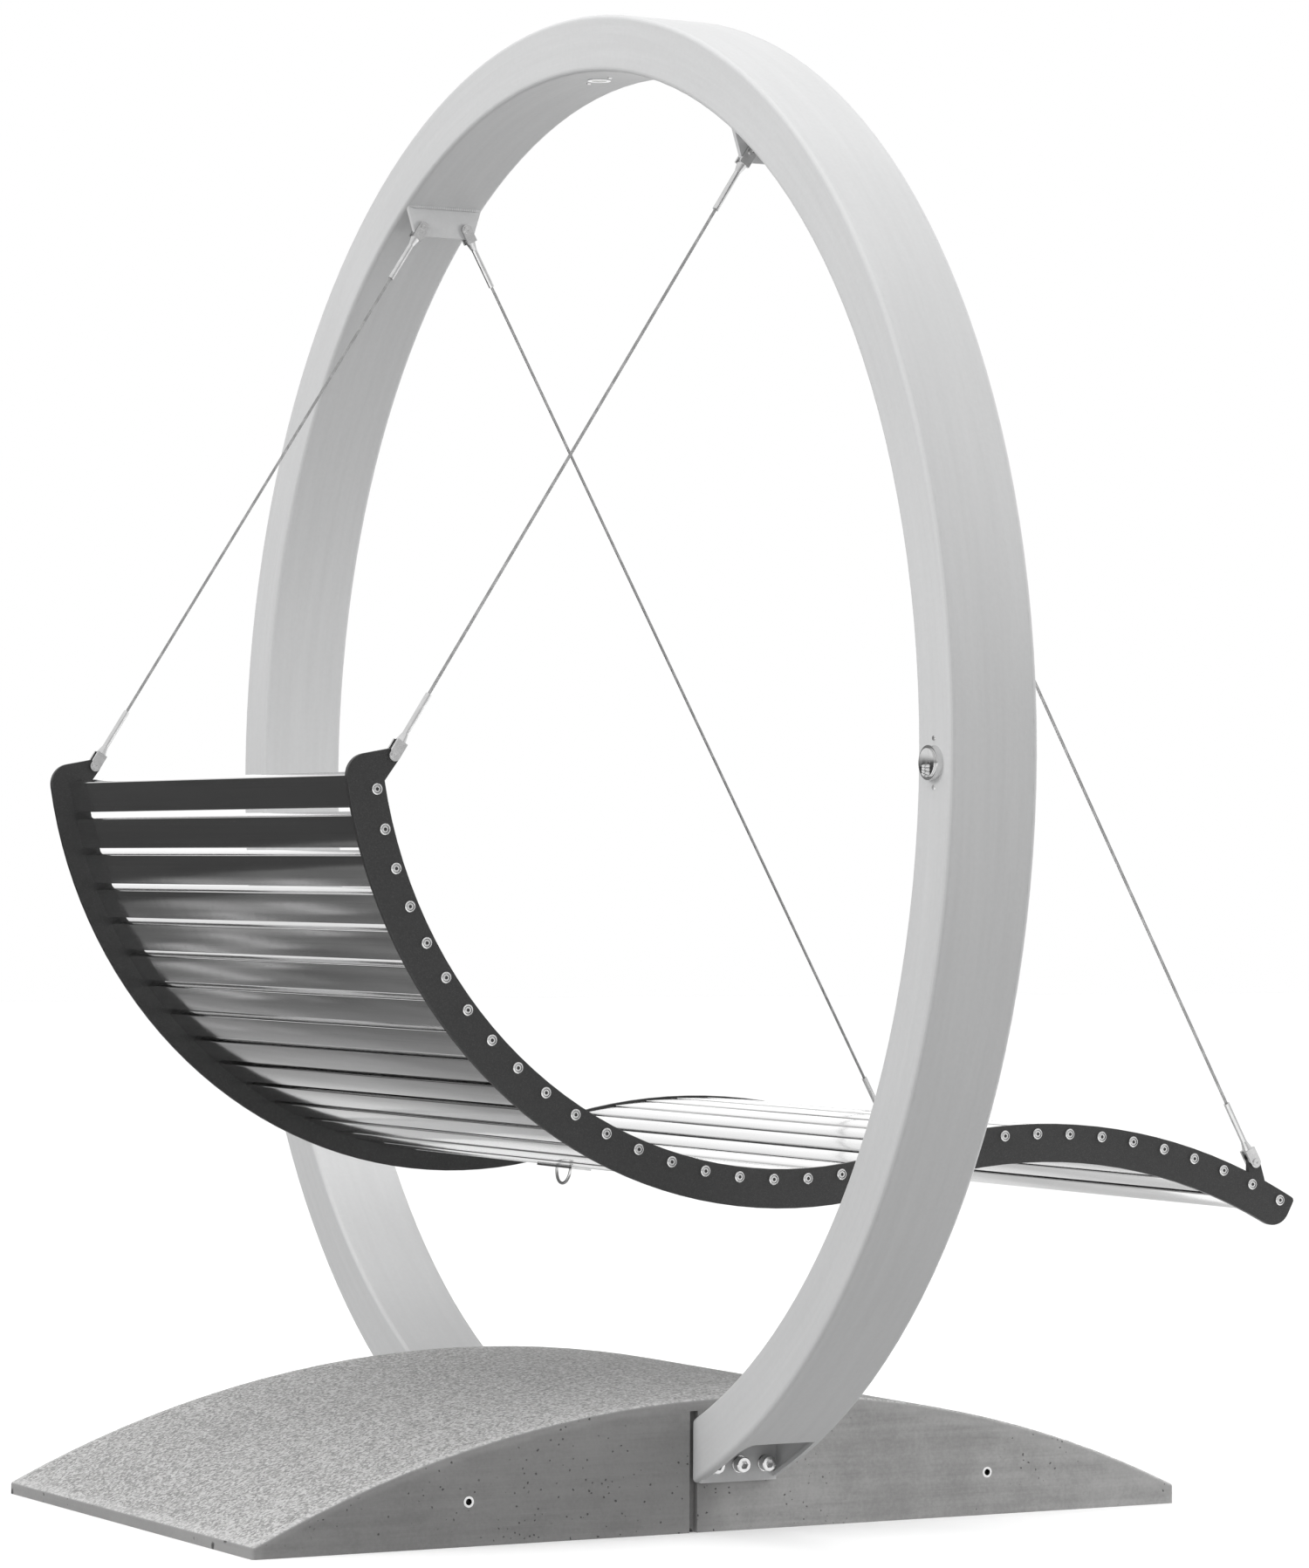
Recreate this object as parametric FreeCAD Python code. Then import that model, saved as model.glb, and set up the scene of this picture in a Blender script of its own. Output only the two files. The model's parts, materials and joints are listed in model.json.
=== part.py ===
import FreeCAD, Part
import math
import os

# A lounging swing. A slatted two-person lounger hangs on four wire ropes inside a large
# steel ring, and the ring stands bolted to an arched concrete base.
# Millimetres, +Z up. The origin is the middle of the base's underside. The ring lies in
# the XZ plane, the lounger swings along Y with its head towards -Y, and +X is its right.

# ---- ring: a welded box section of two plates and two bands ----
ring_outer_radius = 1200.0
ring_radial_width = 90.0
ring_depth = 148.0
ring_sink = 19.0
ring_plate_thickness = 8.0
ring_edge_radius = 7.0
ring_edge_steps = 4
ring_band_thickness = 6.0
foot_opening_rise = 69.55
foot_opening_front_lip = 6.0
foot_opening_rear_lip = 6.0
foot_opening_corner_radius = 18.0

# ---- concrete base: a block with an arched top ----
base_width = 938.0
base_length = 1624.0
base_crown_rise = 31.051
base_head_lip = 18.0
base_foot_lip = 30.0
base_edge_radius = 5.0
cable_groove_width = 14.0
cable_groove_depth = 12.0
cast_gap = 0.1

# ---- feet of the ring, bolted to the sides of the base ----
foot_plate_thickness = 12.0
foot_bolt_radius = 8.0
foot_bolt_pitch = 45.0
foot_bolt_rise = 26.55
foot_bolt_reach = 60.0
foot_bolt_head_radius = 12.0
foot_bolt_head_height = 14.0
foot_bolt_head_chamfer = 1.2
foot_bolt_socket_across_flats = 12.0
foot_bolt_socket_depth = 8.0
foot_bolt_clearance = 0.5
foot_washer_radius = 13.0
foot_washer_thickness = 2.5
anchor_wall = 5.0
anchor_length = 80.0
thread_gap = 0.04

# ---- accessory sockets in the sides of the base ----
socket_bore_radius = 5.0
socket_outer_radius = 8.5
socket_length = 60.0
socket_bore_depth = 50.0
socket_offset = 458.0
socket_height = 67.0

# ---- suspension: hanger plates, ropes, fork ends and pins ----
rope_plane = 560.0
hanger_side_lap = 3.0
hanger_bottom_half_length = 54.0
hanger_corner_radius = 12.0
hanger_pin_offset = 41.0
hanger_pin_drop = 32.384
hanger_pin_edge = 16.0
rope_radius = 2.5
pin_radius = 4.0
pin_head_radius = 6.0
pin_head_height = 2.5
pin_socket_across_flats = 4.0
pin_running_gap = 0.08
foot_pivot_gap = 3.1
fork_jaw_thickness = 4.5
fork_jaw_radius = 9.0
fork_side_gap = 0.5
fork_throat = 24.0
fork_neck = 38.0
fork_neck_half_width = 5.5
fork_length = 108.0
fork_shank_radius = 4.75
fork_rope_reach = 62.0

# ---- lounger: curved side plates with slats screwed between them ----
head_pin = (-638.0, 1179.0)
foot_pin = (901.0, 551.0)
stringer_thickness = 8.0
stringer_inner_margin = 15.5
stringer_outer_margin = 44.5
stringer_edge_round = 1.0
screw_line_start = (-665.4, 1129.1)
screw_line_heading = -79.44
seat_radius = 718.0
seat_length = 1189.0
leg_radius = 975.0
ear_radius = 11.0
head_notch_distance = 10.0
head_corner_radius = 33.0
foot_end_distance = 26.0
foot_corner_radius = 33.0
foot_tip_radius = 6.0
foot_ear_inner_run = 74.0
foot_ear_outer_run = 39.0

slat_count = 33
slat_width = 50.0
slat_gap = 10.3
slat_thickness = 25.0
slat_wall = 2.0
slat_corner_radius = 2.0
slat_boss_width = 12.0
slats_per_node = 3

slat_screw_radius = 3.0
slat_screw_clearance = 0.3
slat_screw_reach = 20.0
slat_screw_head_radius = 5.6
slat_screw_head_height = 3.2
slat_screw_socket_across_flats = 4.0
cup_washer_radius = 8.5
cup_washer_height = 3.6
cup_washer_rim = 1.2

# ---- tether eye under the seat ----
tether_slat = 15
tether_plate_length = 118.0
tether_plate_width = 36.0
tether_plate_thickness = 3.0
tether_loop_width = 46.0
tether_loop_drop = 27.0
tether_wire_radius = 2.5
tether_screw_offset = 48.0
tether_screw_radius = 2.0
tether_screw_head_radius = 4.0
tether_screw_head_height = 1.6

# ---- light in the crown of the ring ----
lamp_radius = 15.5
lamp_bezel_width = 3.5
lamp_bezel_height = 1.5
lamp_lens_thickness = 3.0
lamp_wall_gap = 0.1
lead_radius = 3.5
lead_gap = 0.2
lamp_screw_offset = 36.0

# ---- push button on the front of the ring ----
button_angle = -0.65
button_collar_radius = 25.0
button_collar_wall = 4.0
button_collar_height = 10.5
button_travel = 2.5
button_gap = 0.3
button_cap_thickness = 6.0
button_stem_radius = 6.0
button_screw_offset = 35.0
button_spring_radius = 11.0
button_spring_wire = 1.0
switch_body_radius = 17.0
switch_body_length = 35.0
driver_length = 80.0
driver_past_middle = 9.0
driver_margin = 1.0
panel_screw_radius = 2.0
panel_screw_head_radius = 4.0
panel_screw_head_height = 1.6
panel_screw_length = 12.0

# ---- worked out from the driving dimensions ----
base_half_width = base_width / 2
ring_inner_radius = ring_outer_radius - ring_radial_width
ring_half_depth = ring_depth / 2
ring_clear_half_depth = ring_half_depth - ring_plate_thickness
outer_band_inner_radius = ring_outer_radius - ring_band_thickness
inner_band_outer_radius = ring_inner_radius + ring_band_thickness
ring_centre_height = ring_outer_radius - ring_sink
foot_height = ring_centre_height - math.sqrt(ring_outer_radius**2 - base_half_width**2)
foot_inner_height = ring_centre_height - math.sqrt(ring_inner_radius**2 - base_half_width**2)
base_crown_height = foot_inner_height + base_crown_rise
foot_bolt_height = foot_height + foot_bolt_rise
foot_opening_top = foot_height + foot_opening_rise
hanger_slope_top = ring_centre_height + math.sqrt(ring_inner_radius**2 - rope_plane**2)
hanger_pin_height = hanger_slope_top - hanger_pin_drop
hanger_top_half_length = ring_clear_half_depth + hanger_side_lap
hanger_thickness = stringer_thickness
anchor_radius = foot_bolt_radius + anchor_wall
foot_face = base_half_width + foot_plate_thickness
fork_half_opening = stringer_thickness / 2 + fork_side_gap
fork_half_width = fork_half_opening + fork_jaw_thickness
stringer_face = rope_plane - stringer_thickness / 2
slat_pitch = slat_width + slat_gap
screw_line_length = (slat_count - 1) * slat_pitch
lead_line_radius = outer_band_inner_radius - lead_radius - lead_gap
module_top_radius = lead_line_radius - lead_radius - lead_gap

Vec = FreeCAD.Vector
axis_x = Vec(1, 0, 0)
axis_y = Vec(0, 1, 0)
axis_z = Vec(0, 0, 1)
ring_centre = Vec(0, 0, ring_centre_height)
nodes = {}


def add(name, *solids):
    """Keep one or more solids as the sub-part called name."""
    nodes[name] = Part.makeCompound([one for shape in solids for one in shape.Solids])


def box(low, high):
    """A box between two opposite corners."""
    return Part.makeBox(high[0] - low[0], high[1] - low[1], high[2] - low[2], Vec(*low))


def rod(radius, start, end):
    """A solid cylinder from one point to another."""
    return Part.makeCylinder(radius, (end - start).Length, start, end - start)


def tube(outer, inner, start, end):
    """A hollow cylinder from one point to another."""
    return rod(outer, start, end).cut(rod(inner, start, end))


def hexagon(across_flats, start, end):
    """A hexagonal bar from one point to another."""
    along = (end - start).normalize()
    side = along.cross(axis_z)
    if side.Length < 0.5:
        side = axis_x
    side = side.normalize()
    up = along.cross(side)
    reach = across_flats / math.sqrt(3)
    corners = []
    for step in range(7):
        angle = math.radians(60 * step)
        corners.append(start + side * (reach * math.cos(angle)) + up * (reach * math.sin(angle)))
    return Part.Face(Part.makePolygon(corners)).extrude(end - start)


def cone(radius_start, radius_end, start, end):
    """A cone or a stub of one, from one point to another."""
    return Part.makeCone(radius_start, radius_end, (end - start).Length, start, end - start)


def edges_at(shape, axis, place):
    """The edges that lie wholly in one plane across an axis (0 X, 1 Y, 2 Z)."""
    found = []
    for edge in shape.Edges:
        bounds = edge.BoundBox
        low = (bounds.XMin, bounds.YMin, bounds.ZMin)[axis]
        high = (bounds.XMax, bounds.YMax, bounds.ZMax)[axis]
        if abs(low - place) < 0.01 and abs(high - place) < 0.01:
            found.append(edge)
    return found


def side_face(edges):
    """A flat face from 2-D edges that were drawn in the YZ plane."""
    return Part.Face(Part.Wire(Part.__sortEdges__(edges)))


def yz(point, x=0.0):
    """A point of the side view as a point in space."""
    return Vec(x, point[0], point[1])


def towards(point, angle, distance):
    """The side-view point at a distance from another, in a direction."""
    return (point[0] + distance * math.cos(angle), point[1] + distance * math.sin(angle))


def bearing(start, end):
    """The side-view direction from one point to another."""
    return math.atan2(end[1] - start[1], end[0] - start[0])


def tangent_point(outside, centre, radius, side):
    """Where the line from a point touches a circle; side is +1 for its left, -1 for its right."""
    distance = math.dist(outside, centre)
    spread = math.acos(radius / distance)
    return towards(centre, bearing(centre, outside) - side * spread, radius)


def line(start, end):
    return Part.makeLine(yz(start), yz(end))


def arc(start, through, end):
    return Part.Arc(yz(start), yz(through), yz(end)).toShape()


def arc_about(centre, start, end):
    """The shorter arc from one side-view point to another about a centre."""
    first = bearing(centre, start)
    turn = (bearing(centre, end) - first + math.pi) % (2 * math.pi) - math.pi
    middle = towards(centre, first + turn / 2, math.dist(centre, start))
    return arc(start, middle, end)


# ---------------------------------------------------------------- screw line of the lounger
# It is two tangent arcs: the back and the seat curve upwards, the legs curve downwards.
start_heading = math.radians(screw_line_heading)
leg_heading = start_heading + seat_length / seat_radius
end_heading = leg_heading - (screw_line_length - seat_length) / leg_radius
seat_centre = towards(screw_line_start, start_heading + math.pi / 2, seat_radius)
seat_end = towards(seat_centre, leg_heading - math.pi / 2, seat_radius)
leg_centre = towards(seat_end, leg_heading - math.pi / 2, leg_radius)


def screw_line(run, margin=0.0):
    """The point at a distance along the screw line, margin above it, and the heading there."""
    if run <= seat_length:
        heading = start_heading + run / seat_radius
        return towards(seat_centre, heading - math.pi / 2, seat_radius - margin), heading
    heading = leg_heading - (run - seat_length) / leg_radius
    return towards(leg_centre, heading + math.pi / 2, leg_radius + margin), heading


def end_corner(centre, radius, heading, end, along):
    """Round one corner between an edge curved about a centre and a square-cut end.

    radius is the corner's. end is a point of the cut, which faces along heading, and
    along is a point of the curved edge. Gives the corner's centre and its two ends."""
    edge_radius = math.dist(centre, along)
    out = (math.cos(heading), math.sin(heading))
    across = heading + math.pi / 2
    depth = (end[0] - centre[0]) * out[0] + (end[1] - centre[1]) * out[1] - radius
    height = (along[0] - centre[0]) * -out[1] + (along[1] - centre[1]) * out[0]
    inside = bool(height > 0) == bool((end[0] - along[0]) * -out[1] + (end[1] - along[1]) * out[0] < 0)
    reach = edge_radius - radius if inside else edge_radius + radius
    rise = math.copysign(math.sqrt(reach**2 - depth**2), height)
    middle = towards(towards(centre, heading, depth), across, rise)
    on_edge = towards(centre, bearing(centre, middle), edge_radius)
    on_cut = towards(middle, heading, radius)
    return middle, on_edge, on_cut


def stringer_outline():
    """The side view of a stringer, as edges in the YZ plane."""
    top = stringer_inner_margin
    bottom = -stringer_outer_margin
    head_out = start_heading + math.pi
    head_reach = ((head_pin[0] - screw_line_start[0]) * math.cos(head_out)
                  + (head_pin[1] - screw_line_start[1]) * math.sin(head_out) + ear_radius)
    head_end = towards(screw_line_start, head_out, head_reach)
    last_screw = screw_line(screw_line_length)[0]
    foot_end = towards(last_screw, end_heading, foot_end_distance)

    notch = screw_line(-head_notch_distance, top)[0]
    head_touch = tangent_point(notch, head_pin, ear_radius, -1)
    ear_top = towards(head_pin, head_out, ear_radius)
    head_mid, head_edge, head_cut = end_corner(
        seat_centre, head_corner_radius, head_out, head_end, screw_line(0, bottom)[0])

    upper_join = screw_line(seat_length, top)[0]
    lower_join = screw_line(seat_length, bottom)[0]
    ear_inner = screw_line(screw_line_length - foot_ear_inner_run, top)[0]
    ear_outer = screw_line(screw_line_length - foot_ear_outer_run, top)[0]
    inner_touch = tangent_point(ear_inner, foot_pin, ear_radius, 1)
    outer_touch = tangent_point(ear_outer, foot_pin, ear_radius, -1)
    ear_crest = towards(foot_pin, end_heading + math.pi / 2, ear_radius)
    tip_mid, tip_edge, tip_cut = end_corner(
        leg_centre, foot_tip_radius, end_heading, foot_end, screw_line(screw_line_length, top)[0])
    heel_mid, heel_edge, heel_cut = end_corner(
        leg_centre, foot_corner_radius, end_heading, foot_end, screw_line(screw_line_length, bottom)[0])

    return [
        arc_about(seat_centre, notch, upper_join),
        arc_about(leg_centre, upper_join, ear_inner),
        line(ear_inner, inner_touch),
        arc(inner_touch, ear_crest, outer_touch),
        line(outer_touch, ear_outer),
        arc_about(leg_centre, ear_outer, tip_edge),
        arc_about(tip_mid, tip_edge, tip_cut),
        line(tip_cut, heel_cut),
        arc_about(heel_mid, heel_cut, heel_edge),
        arc_about(leg_centre, heel_edge, lower_join),
        arc_about(seat_centre, lower_join, head_edge),
        arc_about(head_mid, head_edge, head_cut),
        line(head_cut, ear_top),
        arc_about(head_pin, ear_top, head_touch),
        line(head_touch, notch),
    ]


# ---------------------------------------------------------------- ring and base
def ring_disc(outer, inner, half_depth):
    """A full ring about the Y axis, centred on the ring's plane."""
    front = ring_centre - axis_y * half_depth
    back = ring_centre + axis_y * half_depth
    return tube(outer, inner, front, back)


def base_room():
    """The space that the base takes between the feet of the ring."""
    low = (-base_half_width, -ring_depth, -ring_outer_radius)
    high = (base_half_width, ring_depth, ring_centre_height)
    return box(low, high)


def rounding(radius, start):
    """The corners of a plate's rounded edge, as radii and depths, from its start in degrees."""
    corners = []
    for step in range(ring_edge_steps + 1):
        angle = math.radians(start + 90.0 * step / ring_edge_steps)
        across = ring_edge_radius * math.cos(angle)
        along = ring_edge_radius * math.sin(angle)
        corners.append((radius + across, ring_half_depth - ring_edge_radius + along))
    return corners


def ring_plate(side):
    """The front (-1) or the rear (+1) plate, with its outer face's edges rounded."""
    profile = [(ring_outer_radius, ring_clear_half_depth)]
    profile += rounding(ring_outer_radius - ring_edge_radius, 0.0)
    profile += rounding(ring_inner_radius + ring_edge_radius, 90.0)
    profile += [(ring_inner_radius, ring_clear_half_depth)]
    points = [ring_centre + Vec(radius, side * depth, 0) for radius, depth in profile]
    plate = Part.Face(Part.makePolygon(points + points[:1]))
    plate = plate.revolve(ring_centre, axis_y, 360)
    return plate.cut(base_room())


def outer_band():
    """The outer band, open at each foot so that a key reaches the bolts."""
    band = ring_disc(ring_outer_radius, outer_band_inner_radius, ring_clear_half_depth)
    low = (-foot_face, -ring_depth, -ring_outer_radius)
    high = (foot_face, ring_depth, ring_centre_height)
    band = band.cut(box(low, high))
    front = foot_opening_front_lip - ring_clear_half_depth
    low = (-ring_outer_radius, front, -ring_outer_radius)
    high = (ring_outer_radius, ring_clear_half_depth - foot_opening_rear_lip, foot_opening_top)
    opening = box(low, high)
    front_edges = Part.makeCompound(edges_at(opening, 1, front))
    corner = edges_at(front_edges, 2, foot_opening_top)
    return band.cut(opening.makeFillet(foot_opening_corner_radius, corner))


def ring_point(radius, degrees, y=0.0):
    """A point of the ring: 0 degrees is +X and 90 is its crown."""
    angle = math.radians(degrees)
    return ring_centre + Vec(radius * math.cos(angle), y, radius * math.sin(angle))


def inner_band():
    """The inner band, with the holes for the lamp and its screws."""
    band = ring_disc(inner_band_outer_radius, ring_inner_radius, ring_clear_half_depth)
    band = band.cut(base_room())
    low = ring_point(ring_inner_radius - ring_band_thickness, 90)
    high = ring_point(inner_band_outer_radius + ring_band_thickness, 90)
    band = band.cut(rod(lamp_radius + lamp_wall_gap, low, high))
    for side in (-1, 1):
        shift = axis_x * (side * lamp_screw_offset)
        band = band.cut(rod(panel_screw_radius + lamp_wall_gap, low + shift, high + shift))
    return band


def concrete_base():
    """The arched block with its anchor holes, its sockets and the cable groove."""
    half = base_length / 2
    corners = [(-half, 0.0), (half, 0.0), (half, base_foot_lip), (-half, base_head_lip)]
    outline = [line(corners[0], corners[1]), line(corners[1], corners[2])]
    outline.append(arc(corners[2], (0.0, base_crown_height), corners[3]))
    outline.append(line(corners[3], corners[0]))
    block = side_face(outline).extrude(axis_x * base_width)
    block.translate(Vec(-base_half_width, 0, 0))
    rounded = [edge for edge in block.Edges if edge.BoundBox.ZMax > base_edge_radius]
    block = block.makeFillet(base_edge_radius, rounded)
    for place in foot_bolt_places():
        inward = Vec(-place.x, 0, 0).normalize()
        block = block.cut(rod(anchor_radius + cast_gap, place, place + inward * anchor_length))
    for place in socket_places():
        inward = Vec(-place.x, 0, 0).normalize()
        block = block.cut(rod(socket_outer_radius + cast_gap, place, place + inward * socket_length))
    groove_edge = -ring_clear_half_depth
    low = (base_half_width - cable_groove_depth, groove_edge - cable_groove_width, -1.0)
    high = (base_half_width + 1.0, groove_edge, base_crown_height - base_edge_radius * 4)
    return block.cut(box(low, high))


def foot_bolt_places():
    """Bolt centres on the two side faces of the base."""
    places = []
    for side in (-1, 1):
        for row in (-1, 0, 1):
            places.append(Vec(side * base_half_width, row * foot_bolt_pitch, foot_bolt_height))
    return places


def socket_places():
    """Mouths of the four accessory sockets on the side faces of the base."""
    places = []
    for side in (-1, 1):
        for end in (-1, 1):
            places.append(Vec(side * base_half_width, end * socket_offset, socket_height))
    return places


def foot_plate(side):
    """The plate that closes a foot of the ring against the base."""
    low = (base_half_width, -ring_clear_half_depth, foot_height)
    high = (foot_face, ring_clear_half_depth, base_crown_height)
    plate = box(low, high)
    plate = plate.cut(rod(inner_band_outer_radius, ring_centre - axis_y * ring_depth,
                          ring_centre + axis_y * ring_depth))
    for place in foot_bolt_places():
        if place.x > 0:
            plate = plate.cut(rod(foot_bolt_radius + foot_bolt_clearance, place,
                                  place + axis_x * foot_plate_thickness))
    if side < 0:
        plate = plate.mirror(Vec(0, 0, 0), axis_x)
    return plate


def foot_bolt(place):
    """A socket head bolt through the foot plate into its anchor."""
    out = Vec(place.x, 0, 0).normalize()
    seat = place + out * (foot_plate_thickness + foot_washer_thickness)
    shoulder = seat + out * (foot_bolt_head_height - foot_bolt_head_chamfer)
    end = seat + out * foot_bolt_head_height
    head = rod(foot_bolt_head_radius, seat, shoulder)
    head = head.fuse(cone(foot_bolt_head_radius, foot_bolt_head_radius - foot_bolt_head_chamfer, shoulder, end))
    head = head.cut(hexagon(foot_bolt_socket_across_flats, end - out * foot_bolt_socket_depth, end))
    return head.fuse(rod(foot_bolt_radius, place - out * foot_bolt_reach, seat))


def foot_washer(place):
    out = Vec(place.x, 0, 0).normalize()
    start = place + out * foot_plate_thickness
    hole = foot_bolt_radius + foot_bolt_clearance
    return tube(foot_washer_radius, hole, start, start + out * foot_washer_thickness)


def blind_sleeve(place, outer, inner, length, bore):
    """A sleeve set into the side of the base, flush with it and open outwards."""
    inward = Vec(-place.x, 0, 0).normalize()
    return rod(outer, place, place + inward * length).cut(rod(inner, place, place + inward * bore))


# ---------------------------------------------------------------- suspension
def hanger_plate(side):
    """A plate welded under the crown side of the ring, with two pin holes."""
    bottom = hanger_pin_height - hanger_pin_edge
    top = ring_centre_height + ring_inner_radius
    lean = (hanger_top_half_length - hanger_bottom_half_length) / (hanger_slope_top - bottom)
    top_half = hanger_bottom_half_length + lean * (top - bottom)
    points = [(-hanger_bottom_half_length, bottom), (hanger_bottom_half_length, bottom),
              (top_half, top), (-top_half, top)]
    outline = [line(points[n], points[(n + 1) % 4]) for n in range(4)]
    plate = side_face(outline).extrude(axis_x * hanger_thickness)
    plate.translate(axis_x * (side * rope_plane - hanger_thickness / 2))
    lower = [edge for edge in plate.Edges
             if edge.BoundBox.ZMax < bottom + 0.01 and edge.BoundBox.YLength < 0.01]
    plate = plate.makeFillet(hanger_corner_radius, lower)
    plate = plate.common(rod(ring_inner_radius, ring_centre - axis_y * ring_depth,
                             ring_centre + axis_y * ring_depth))
    for offset in (-hanger_pin_offset, hanger_pin_offset):
        plate = plate.cut(cross_rod(side, (offset, hanger_pin_height),
                                    pin_radius + pin_running_gap, hanger_thickness))
    return plate


def cross_rod(side, point, radius, half_length):
    """A cylinder along X through a rope's plane."""
    middle = yz(point, side * rope_plane)
    return rod(radius, middle - axis_x * half_length, middle + axis_x * half_length)


def fork(side, pin, along):
    """A swaged fork end: two jaws about the pin, a neck and a bored shank along the rope."""
    left = along + math.pi / 2
    shoulder = towards(pin, along, fork_throat)
    neck = towards(pin, along, fork_neck)
    jaw = [towards(pin, left, fork_jaw_radius), towards(shoulder, left, fork_jaw_radius),
           towards(neck, left, fork_neck_half_width), towards(neck, left, -fork_neck_half_width),
           towards(shoulder, left, -fork_jaw_radius), towards(pin, left, -fork_jaw_radius)]
    outline = [line(jaw[n], jaw[n + 1]) for n in range(5)]
    outline.append(arc(jaw[5], towards(pin, along, -fork_jaw_radius), jaw[0]))
    body = side_face(outline).extrude(axis_x * (2 * fork_half_width))
    body.translate(axis_x * (side * rope_plane - fork_half_width))
    slot_ends = [towards(pin, along, -2 * fork_jaw_radius), shoulder]
    slot = [towards(slot_ends[0], left, 2 * fork_jaw_radius), towards(slot_ends[1], left, 2 * fork_jaw_radius),
            towards(slot_ends[1], left, -2 * fork_jaw_radius), towards(slot_ends[0], left, -2 * fork_jaw_radius)]
    opening = side_face([line(slot[n], slot[(n + 1) % 4]) for n in range(4)])
    opening = opening.extrude(axis_x * (2 * fork_half_opening))
    opening.translate(axis_x * (side * rope_plane - fork_half_opening))
    body = body.cut(opening)
    centre = side * rope_plane
    taper = cone(fork_half_width + fork_neck - fork_throat, fork_shank_radius,
                 yz(towards(pin, along, -fork_neck), centre), yz(neck, centre))
    body = body.common(taper.fuse(cone(fork_half_width * 2, fork_half_width * 2 - 1,
                                       yz(towards(pin, along, -fork_neck), centre),
                                       yz(shoulder, centre))))
    shank = rod(fork_shank_radius, yz(shoulder, centre), yz(towards(pin, along, fork_length), centre))
    body = body.fuse(shank)
    body = body.cut(rod(rope_radius + thread_gap, yz(towards(pin, along, fork_rope_reach), centre),
                        yz(towards(pin, along, fork_length), centre)))
    return body.cut(cross_rod(side, pin, pin_radius + thread_gap, fork_half_width * 2))


def pin(side, point):
    """A fork pin with a flat head on each side and a hexagon socket in the right-hand one."""
    body = cross_rod(side, point, pin_radius, fork_half_width)
    centre = yz(point, side * rope_plane)
    for end in (-1, 1):
        seat = centre + axis_x * (end * fork_half_width)
        body = body.fuse(rod(pin_head_radius, seat, seat + axis_x * (end * pin_head_height)))
    face = centre + axis_x * (fork_half_width + pin_head_height)
    return body.cut(hexagon(pin_socket_across_flats, face - axis_x * pin_head_height, face))


def rope_set(name, side, upper, lower):
    """One rope with a fork and a pin at each end."""
    down = bearing(upper, lower)
    start = yz(towards(upper, down, fork_rope_reach), side * rope_plane)
    end = yz(towards(lower, down + math.pi, fork_rope_reach), side * rope_plane)
    add(name + "_rope", rod(rope_radius, start, end))
    add(name + "_upper_fork", fork(side, upper, down))
    add(name + "_lower_fork", fork(side, lower, down + math.pi))
    add(name + "_pins", pin(side, upper), pin(side, lower))


# ---------------------------------------------------------------- lounger
def stringer(side):
    """A curved side plate with its pin holes and screw holes."""
    plate = side_face(stringer_outline()).extrude(axis_x * stringer_thickness)
    plate.translate(axis_x * (side * rope_plane - stringer_thickness / 2))
    outer_x = side * (rope_plane + stringer_thickness / 2)
    plate = plate.makeFillet(stringer_edge_round, edges_at(plate, 0, outer_x))
    plate = plate.cut(cross_rod(side, head_pin, pin_radius + pin_running_gap, stringer_thickness))
    plate = plate.cut(cross_rod(side, foot_pin, pin_radius + foot_pivot_gap, stringer_thickness))
    holes = []
    for number in range(slat_count):
        place = screw_line(number * slat_pitch)[0]
        holes.append(cross_rod(side, place, slat_screw_radius + slat_screw_clearance, stringer_thickness))
    return plate.cut(Part.makeCompound(holes))


def rounded_slot(width, height, radius):
    """A rectangle with rounded corners about the origin of the side view, as a face."""
    half_width = width / 2
    half_height = height / 2
    edges = []
    for turn in range(4):
        angle = turn * math.pi / 2
        reach_x, reach_y = (half_width, half_height) if turn % 2 == 0 else (half_height, half_width)
        centre = towards(towards((0, 0), angle, reach_x - radius), angle + math.pi / 2, reach_y - radius)
        start = towards(centre, angle, radius)
        end = towards(centre, angle + math.pi / 2, radius)
        edges.append(arc(start, towards(centre, angle + math.pi / 4, radius), end))
        next_angle = angle + math.pi / 2
        next_centre = towards(towards((0, 0), next_angle, reach_y - radius),
                              next_angle + math.pi / 2, reach_x - radius)
        edges.append(line(end, towards(next_centre, next_angle, radius)))
    return side_face(edges)


def slat_section():
    """The slat's hollow section: two chambers and a round screw channel between them."""
    section = rounded_slot(slat_width, slat_thickness, slat_corner_radius)
    chamber_width = (slat_width - slat_boss_width) / 2 - slat_wall
    chamber = rounded_slot(chamber_width, slat_thickness - 2 * slat_wall, slat_corner_radius / 2)
    offset = slat_boss_width / 2 + chamber_width / 2
    for side in (-1, 1):
        hollow = chamber.copy()
        hollow.translate(axis_y * (side * offset))
        section = section.cut(hollow)
    channel = Part.Face(Part.Wire(Part.makeCircle(slat_screw_radius + thread_gap, Vec(0, 0, 0), axis_x)))
    return section.cut(channel)


def on_screw_line(shape, run):
    """Put a shape that was made about the origin at its place on the screw line."""
    place, heading = screw_line(run)
    moved = shape.copy()
    moved.rotate(Vec(0, 0, 0), axis_x, math.degrees(heading))
    moved.translate(yz(place))
    return moved


def slats():
    """Extruded slats between the stringers, kept in groups of neighbours."""
    section = slat_section()
    bar = section.extrude(axis_x * (2 * stringer_face))
    bar.translate(axis_x * -stringer_face)
    for first in range(0, slat_count, slats_per_node):
        group = []
        for number in range(first, min(first + slats_per_node, slat_count)):
            group.append(on_screw_line(bar, number * slat_pitch))
        add("slats_%02d_to_%02d" % (first + 1, first + len(group)), *group)


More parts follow.
